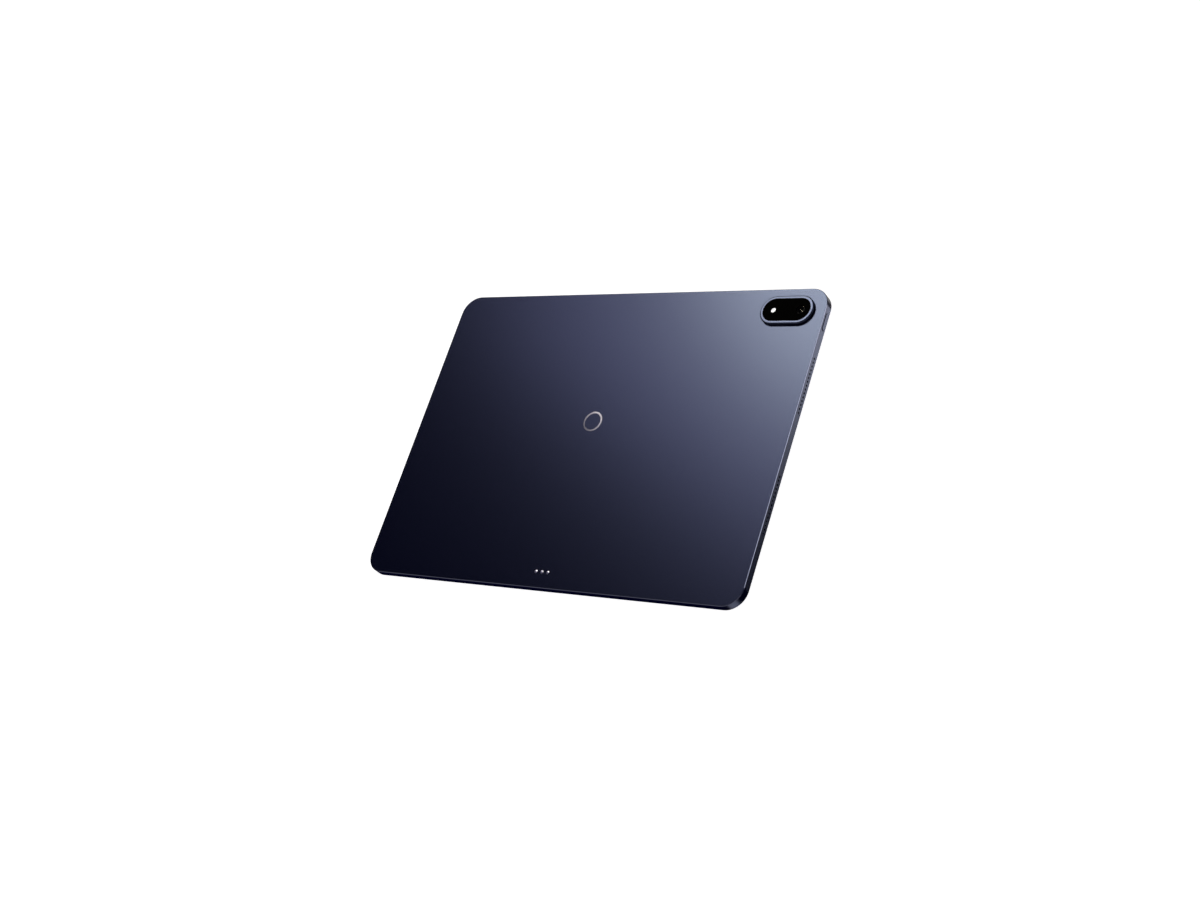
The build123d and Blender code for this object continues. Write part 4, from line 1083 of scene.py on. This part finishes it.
# ---------------------------------------------------------------- everything inside
class TABLET_OT_inner_parts(Operator):
    """Give every part inside the housing its own finish"""

    bl_idname = "tablet.finish_inner_parts"
    bl_label = "Finish Inner Parts"

    def execute(self, context):
        kinds = {
            "stamped_steel": "rear_camera_housing shield_cans board_screws camera_bracket "
            "speaker_drivers power_key_bracket volume_rocker_pin volume_key_bracket",
            "pressed_aluminium": "backlight_tray",
            "pouch_foil": "battery_cell_left battery_cell_right",
            "solder_mask": "flash_board rear_camera_board battery_protection_board main_board usb_board",
            "polyimide_film": "backlight_led_strip interconnect_flex display_flex power_key_flex "
            "volume_key_flex wifi_antennas",
            "moulded_epoxy": "rear_camera_sensor ambient_light_sensor processor memory_chips "
            "support_chips microphones",
            "black_polymer": "front_camera_housing speaker_box_right_upper speaker_box_right_lower "
            "speaker_box_left_upper speaker_box_left_lower",
            "clear_sheet": "optical_adhesive optical_film_stack light_guide_plate",
            "white_film": "reflector_sheet",
            "closed_cell_foam": "display_gasket battery_adhesive",
            "dark_panel": "lcd_cell",
            "thermal_silicone": "thermal_pad",
            "nickel_plate": "keyboard_magnets",
            "enamelled_copper": "stylus_charging_coil",
            "pressed_ferrite": "stylus_coil_ferrite",
            "woven_gauze": "speaker_meshes",
            "coated_lens": "front_camera_lens",
        }
        for kind, names in kinds.items():
            for name in names.split():
                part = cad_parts[name]
                part.data.materials.clear()
                coat(part, kind)
        return {"FINISHED"}


# ---------------------------------------------------------------- studio
class TABLET_OT_studio(Operator):
    """Set up the camera, the pale floor and the soft studio light"""

    bl_idname = "tablet.make_studio"
    bl_label = "Make Studio"

    def execute(self, context):
        scene = context.scene
        light = scene.tablet_studio
        scene.view_settings.view_transform = "Standard"
        self.camera(scene)
        self.floor()
        self.surroundings(scene)
        self.soft_box("Key", (133.3, 48.5), 2.19, (0.666, 0.93), 0.327, light.key, (1.04, 0.93, 1.03))
        self.soft_box("Key core", (127.8, 47.7), 2.1, (0.352, 0.352), 0.0, light.core, (1.02, 0.97, 0.60))
        self.soft_box("Side edge", (29.0, 28.6), 2.1, (0.86, 0.40), 0.0, light.side, (1.0, 0.98, 0.90))
        self.soft_box("Low wide rear", (135.0, 13.0), 2.6, (1.8, 0.5), 0.0, light.fill, (1.0, 1.0, 1.0))
        self.soft_box("Low wide front", (-45.0, 15.0), 2.6, (1.6, 0.6), 0.0, light.fill, (1.0, 1.0, 1.0))
        return {"FINISHED"}

    def camera(self, scene):
        lens = bpy.data.cameras.new("Camera")
        lens.lens = CAMERA_LENS
        lens.sensor_width = 36.0
        lens.clip_start = 0.01
        lens.clip_end = 50.0
        forward = (CAMERA_AIM - CAMERA_EYE).normalized()
        level = forward.cross(Vector((0, 0, 1))).normalized()
        right = level * cos(CAMERA_ROLL) + level.cross(forward) * sin(CAMERA_ROLL)
        turn = Matrix((right, right.cross(forward), -forward)).transposed()
        camera = bpy.data.objects.new("Camera", lens)
        camera.matrix_world = Matrix.Translation(CAMERA_EYE) @ turn.to_4x4()
        scene.collection.objects.link(camera)
        scene.camera = camera

    def floor(self):
        floor = slab("studio_floor", [(0, -0.02), (0, 0.0)], 40.0, 40.0, 4.0)
        coat(floor, "painted_floor")
        floor.visible_glossy = False
        floor.visible_diffuse = False

    def surroundings(self, scene):
        """A white room that the lens sees, and the dim graded room that the metal mirrors."""
        world = bpy.data.worlds.new("Studio room")
        scene.world = world
        world.use_nodes = True
        tree = world.node_tree
        tree.nodes.clear()
        place = node(tree, "ShaderNodeTexCoord")
        parts = node(tree, "ShaderNodeSeparateXYZ", links={"Vector": place.outputs["Generated"]})
        x, y, z = parts.outputs

        def ramp(socket, start, end, low, high):
            limits = {"From Min": start, "From Max": end, "To Min": low, "To Max": high}
            made = node(tree, "ShaderNodeMapRange", limits, {"Value": socket})
            made.interpolation_type = "SMOOTHSTEP"
            return made.outputs["Result"]

        def times(first, second):
            return node(tree, "ShaderNodeMath", operation="MULTIPLY", links={0: first, 1: second}).outputs[0]

        height = node(tree, "ShaderNodeMath", operation="ABSOLUTE", links={0: z}).outputs[0]
        aside = node(tree, "ShaderNodeMath", operation="SUBTRACT", links={0: x, 1: y}).outputs[0]
        horizon = times(ramp(height, 0.1, 0.4, 0.45, 0.0), ramp(aside, -1.4, 1.4, 0.15, 1.0))
        below = times(ramp(z, -0.5, -0.3, 1.0, 0.0), ramp(x, 0.0, 0.3, 0.0, 1.0))
        below = times(below, times(ramp(y, 0.36, 0.47, 0.0, 3.0), ramp(y, 0.49, 0.54, 1.0, 0.0)))
        facing_front = times(ramp(y, -0.5, 0.0, 0.15, 0.0), ramp(z, 0.0, 0.3, 0.0, 1.0))
        patches = (
            ((0.14, -0.57, -0.81), 0.94, 0.985, 1.1),
            ((-0.16, 0.66, -0.74), 0.94, 0.985, 0.7),
            ((-0.25, 0.60, 0.76), 0.97, 0.995, 3.4),
        )
        glows = []
        for towards, edge, core, strength in patches:
            away = {0: place.outputs["Generated"]}
            toward = node(tree, "ShaderNodeVectorMath", operation="DOT_PRODUCT", links=away)
            toward.inputs[1].default_value = towards
            glows.append(ramp(toward.outputs["Value"], edge, core, 0.0, strength))
        level = horizon
        for more in (below, facing_front, *glows):
            level = node(tree, "ShaderNodeMath", operation="ADD", links={0: level, 1: more}).outputs[0]
        warm = {"Color": (1.0, 0.94, 0.80, 1.0)}
        room = node(tree, "ShaderNodeBackground", inputs=warm, links={"Strength": level})
        dusk = node(tree, "ShaderNodeBackground", inputs={"Color": (0.01, 0.03, 1.0, 1.0), "Strength": 0.03})
        room = node(tree, "ShaderNodeAddShader", links={0: room.outputs[0], 1: dusk.outputs[0]})
        white = {"Color": (1.0, 1.0, 1.0, 1.0), "Strength": 1.0}
        backdrop = node(tree, "ShaderNodeBackground", inputs=white)
        ray = node(tree, "ShaderNodeLightPath")
        seen = node(tree, "ShaderNodeMixShader", links={0: ray.outputs["Is Camera Ray"]})
        tree.links.new(room.outputs[0], seen.inputs[1])
        tree.links.new(backdrop.outputs[0], seen.inputs[2])
        node(tree, "ShaderNodeOutputWorld", links={"Surface": seen.outputs[0]})

    def soft_box(self, name, towards, distance, size, twist, radiance, colour):
        """A rectangular soft light, aimed at the tablet. Towards is its compass angle and its height."""
        light = bpy.data.lights.new(name, "AREA")
        light.shape = "RECTANGLE"
        light.size, light.size_y = size
        light.energy = radiance * pi * size[0] * size[1]
        light.color = colour
        turn, rise = radians(towards[0]), radians(towards[1])
        away = Vector((cos(rise) * cos(turn), cos(rise) * sin(turn), sin(rise)))
        level = Vector((0, 0, 1)).cross(away).normalized()
        upright = away.cross(level)
        across = level * cos(twist) + upright * sin(twist)
        lamp = bpy.data.objects.new(name, light)
        frame_of_lamp = Matrix((across, away.cross(across), away)).transposed().to_4x4()
        lamp.matrix_world = Matrix.Translation(away * distance) @ frame_of_lamp
        lamp.visible_camera = False
        bpy.context.scene.collection.objects.link(lamp)


# ---------------------------------------------------------------- panel and running
STEPS = (
    TABLET_OT_studio,
    TABLET_OT_housing,
    TABLET_OT_emblem,
    TABLET_OT_contacts,
    TABLET_OT_island,
    TABLET_OT_lens,
    TABLET_OT_buttons,
    TABLET_OT_front_glass,
    TABLET_OT_port,
    TABLET_OT_inner_parts,
)


class TABLET_PT_panel(Panel):
    """Lists the tablet's sizes, colours and making steps"""

    bl_idname = "TABLET_PT_panel"
    bl_label = "Tablet Computer"
    bl_space_type = "VIEW_3D"
    bl_region_type = "UI"
    bl_category = "Tablet"

    def draw(self, context):
        scene = context.scene
        for group in (scene.tablet_sizes, scene.tablet_colours, scene.tablet_studio):
            box = self.layout.box()
            for name in group.__annotations__:
                box.prop(group, name)
        for step in STEPS:
            self.layout.operator(step.bl_idname)


CLASSES = (TabletSizes, TabletColours, TabletStudio, *STEPS, TABLET_PT_panel)


def register():
    for kind in CLASSES:
        bpy.utils.register_class(kind)
    bpy.types.Scene.tablet_sizes = PointerProperty(type=TabletSizes)
    bpy.types.Scene.tablet_colours = PointerProperty(type=TabletColours)
    bpy.types.Scene.tablet_studio = PointerProperty(type=TabletStudio)


def unregister():
    del bpy.types.Scene.tablet_studio
    del bpy.types.Scene.tablet_colours
    del bpy.types.Scene.tablet_sizes
    for kind in reversed(CLASSES):
        bpy.utils.unregister_class(kind)


def main():
    register()
    for step in STEPS:
        area, name = step.bl_idname.split(".")
        getattr(getattr(bpy.ops, area), name)()


if __name__ == "__main__":
    main()
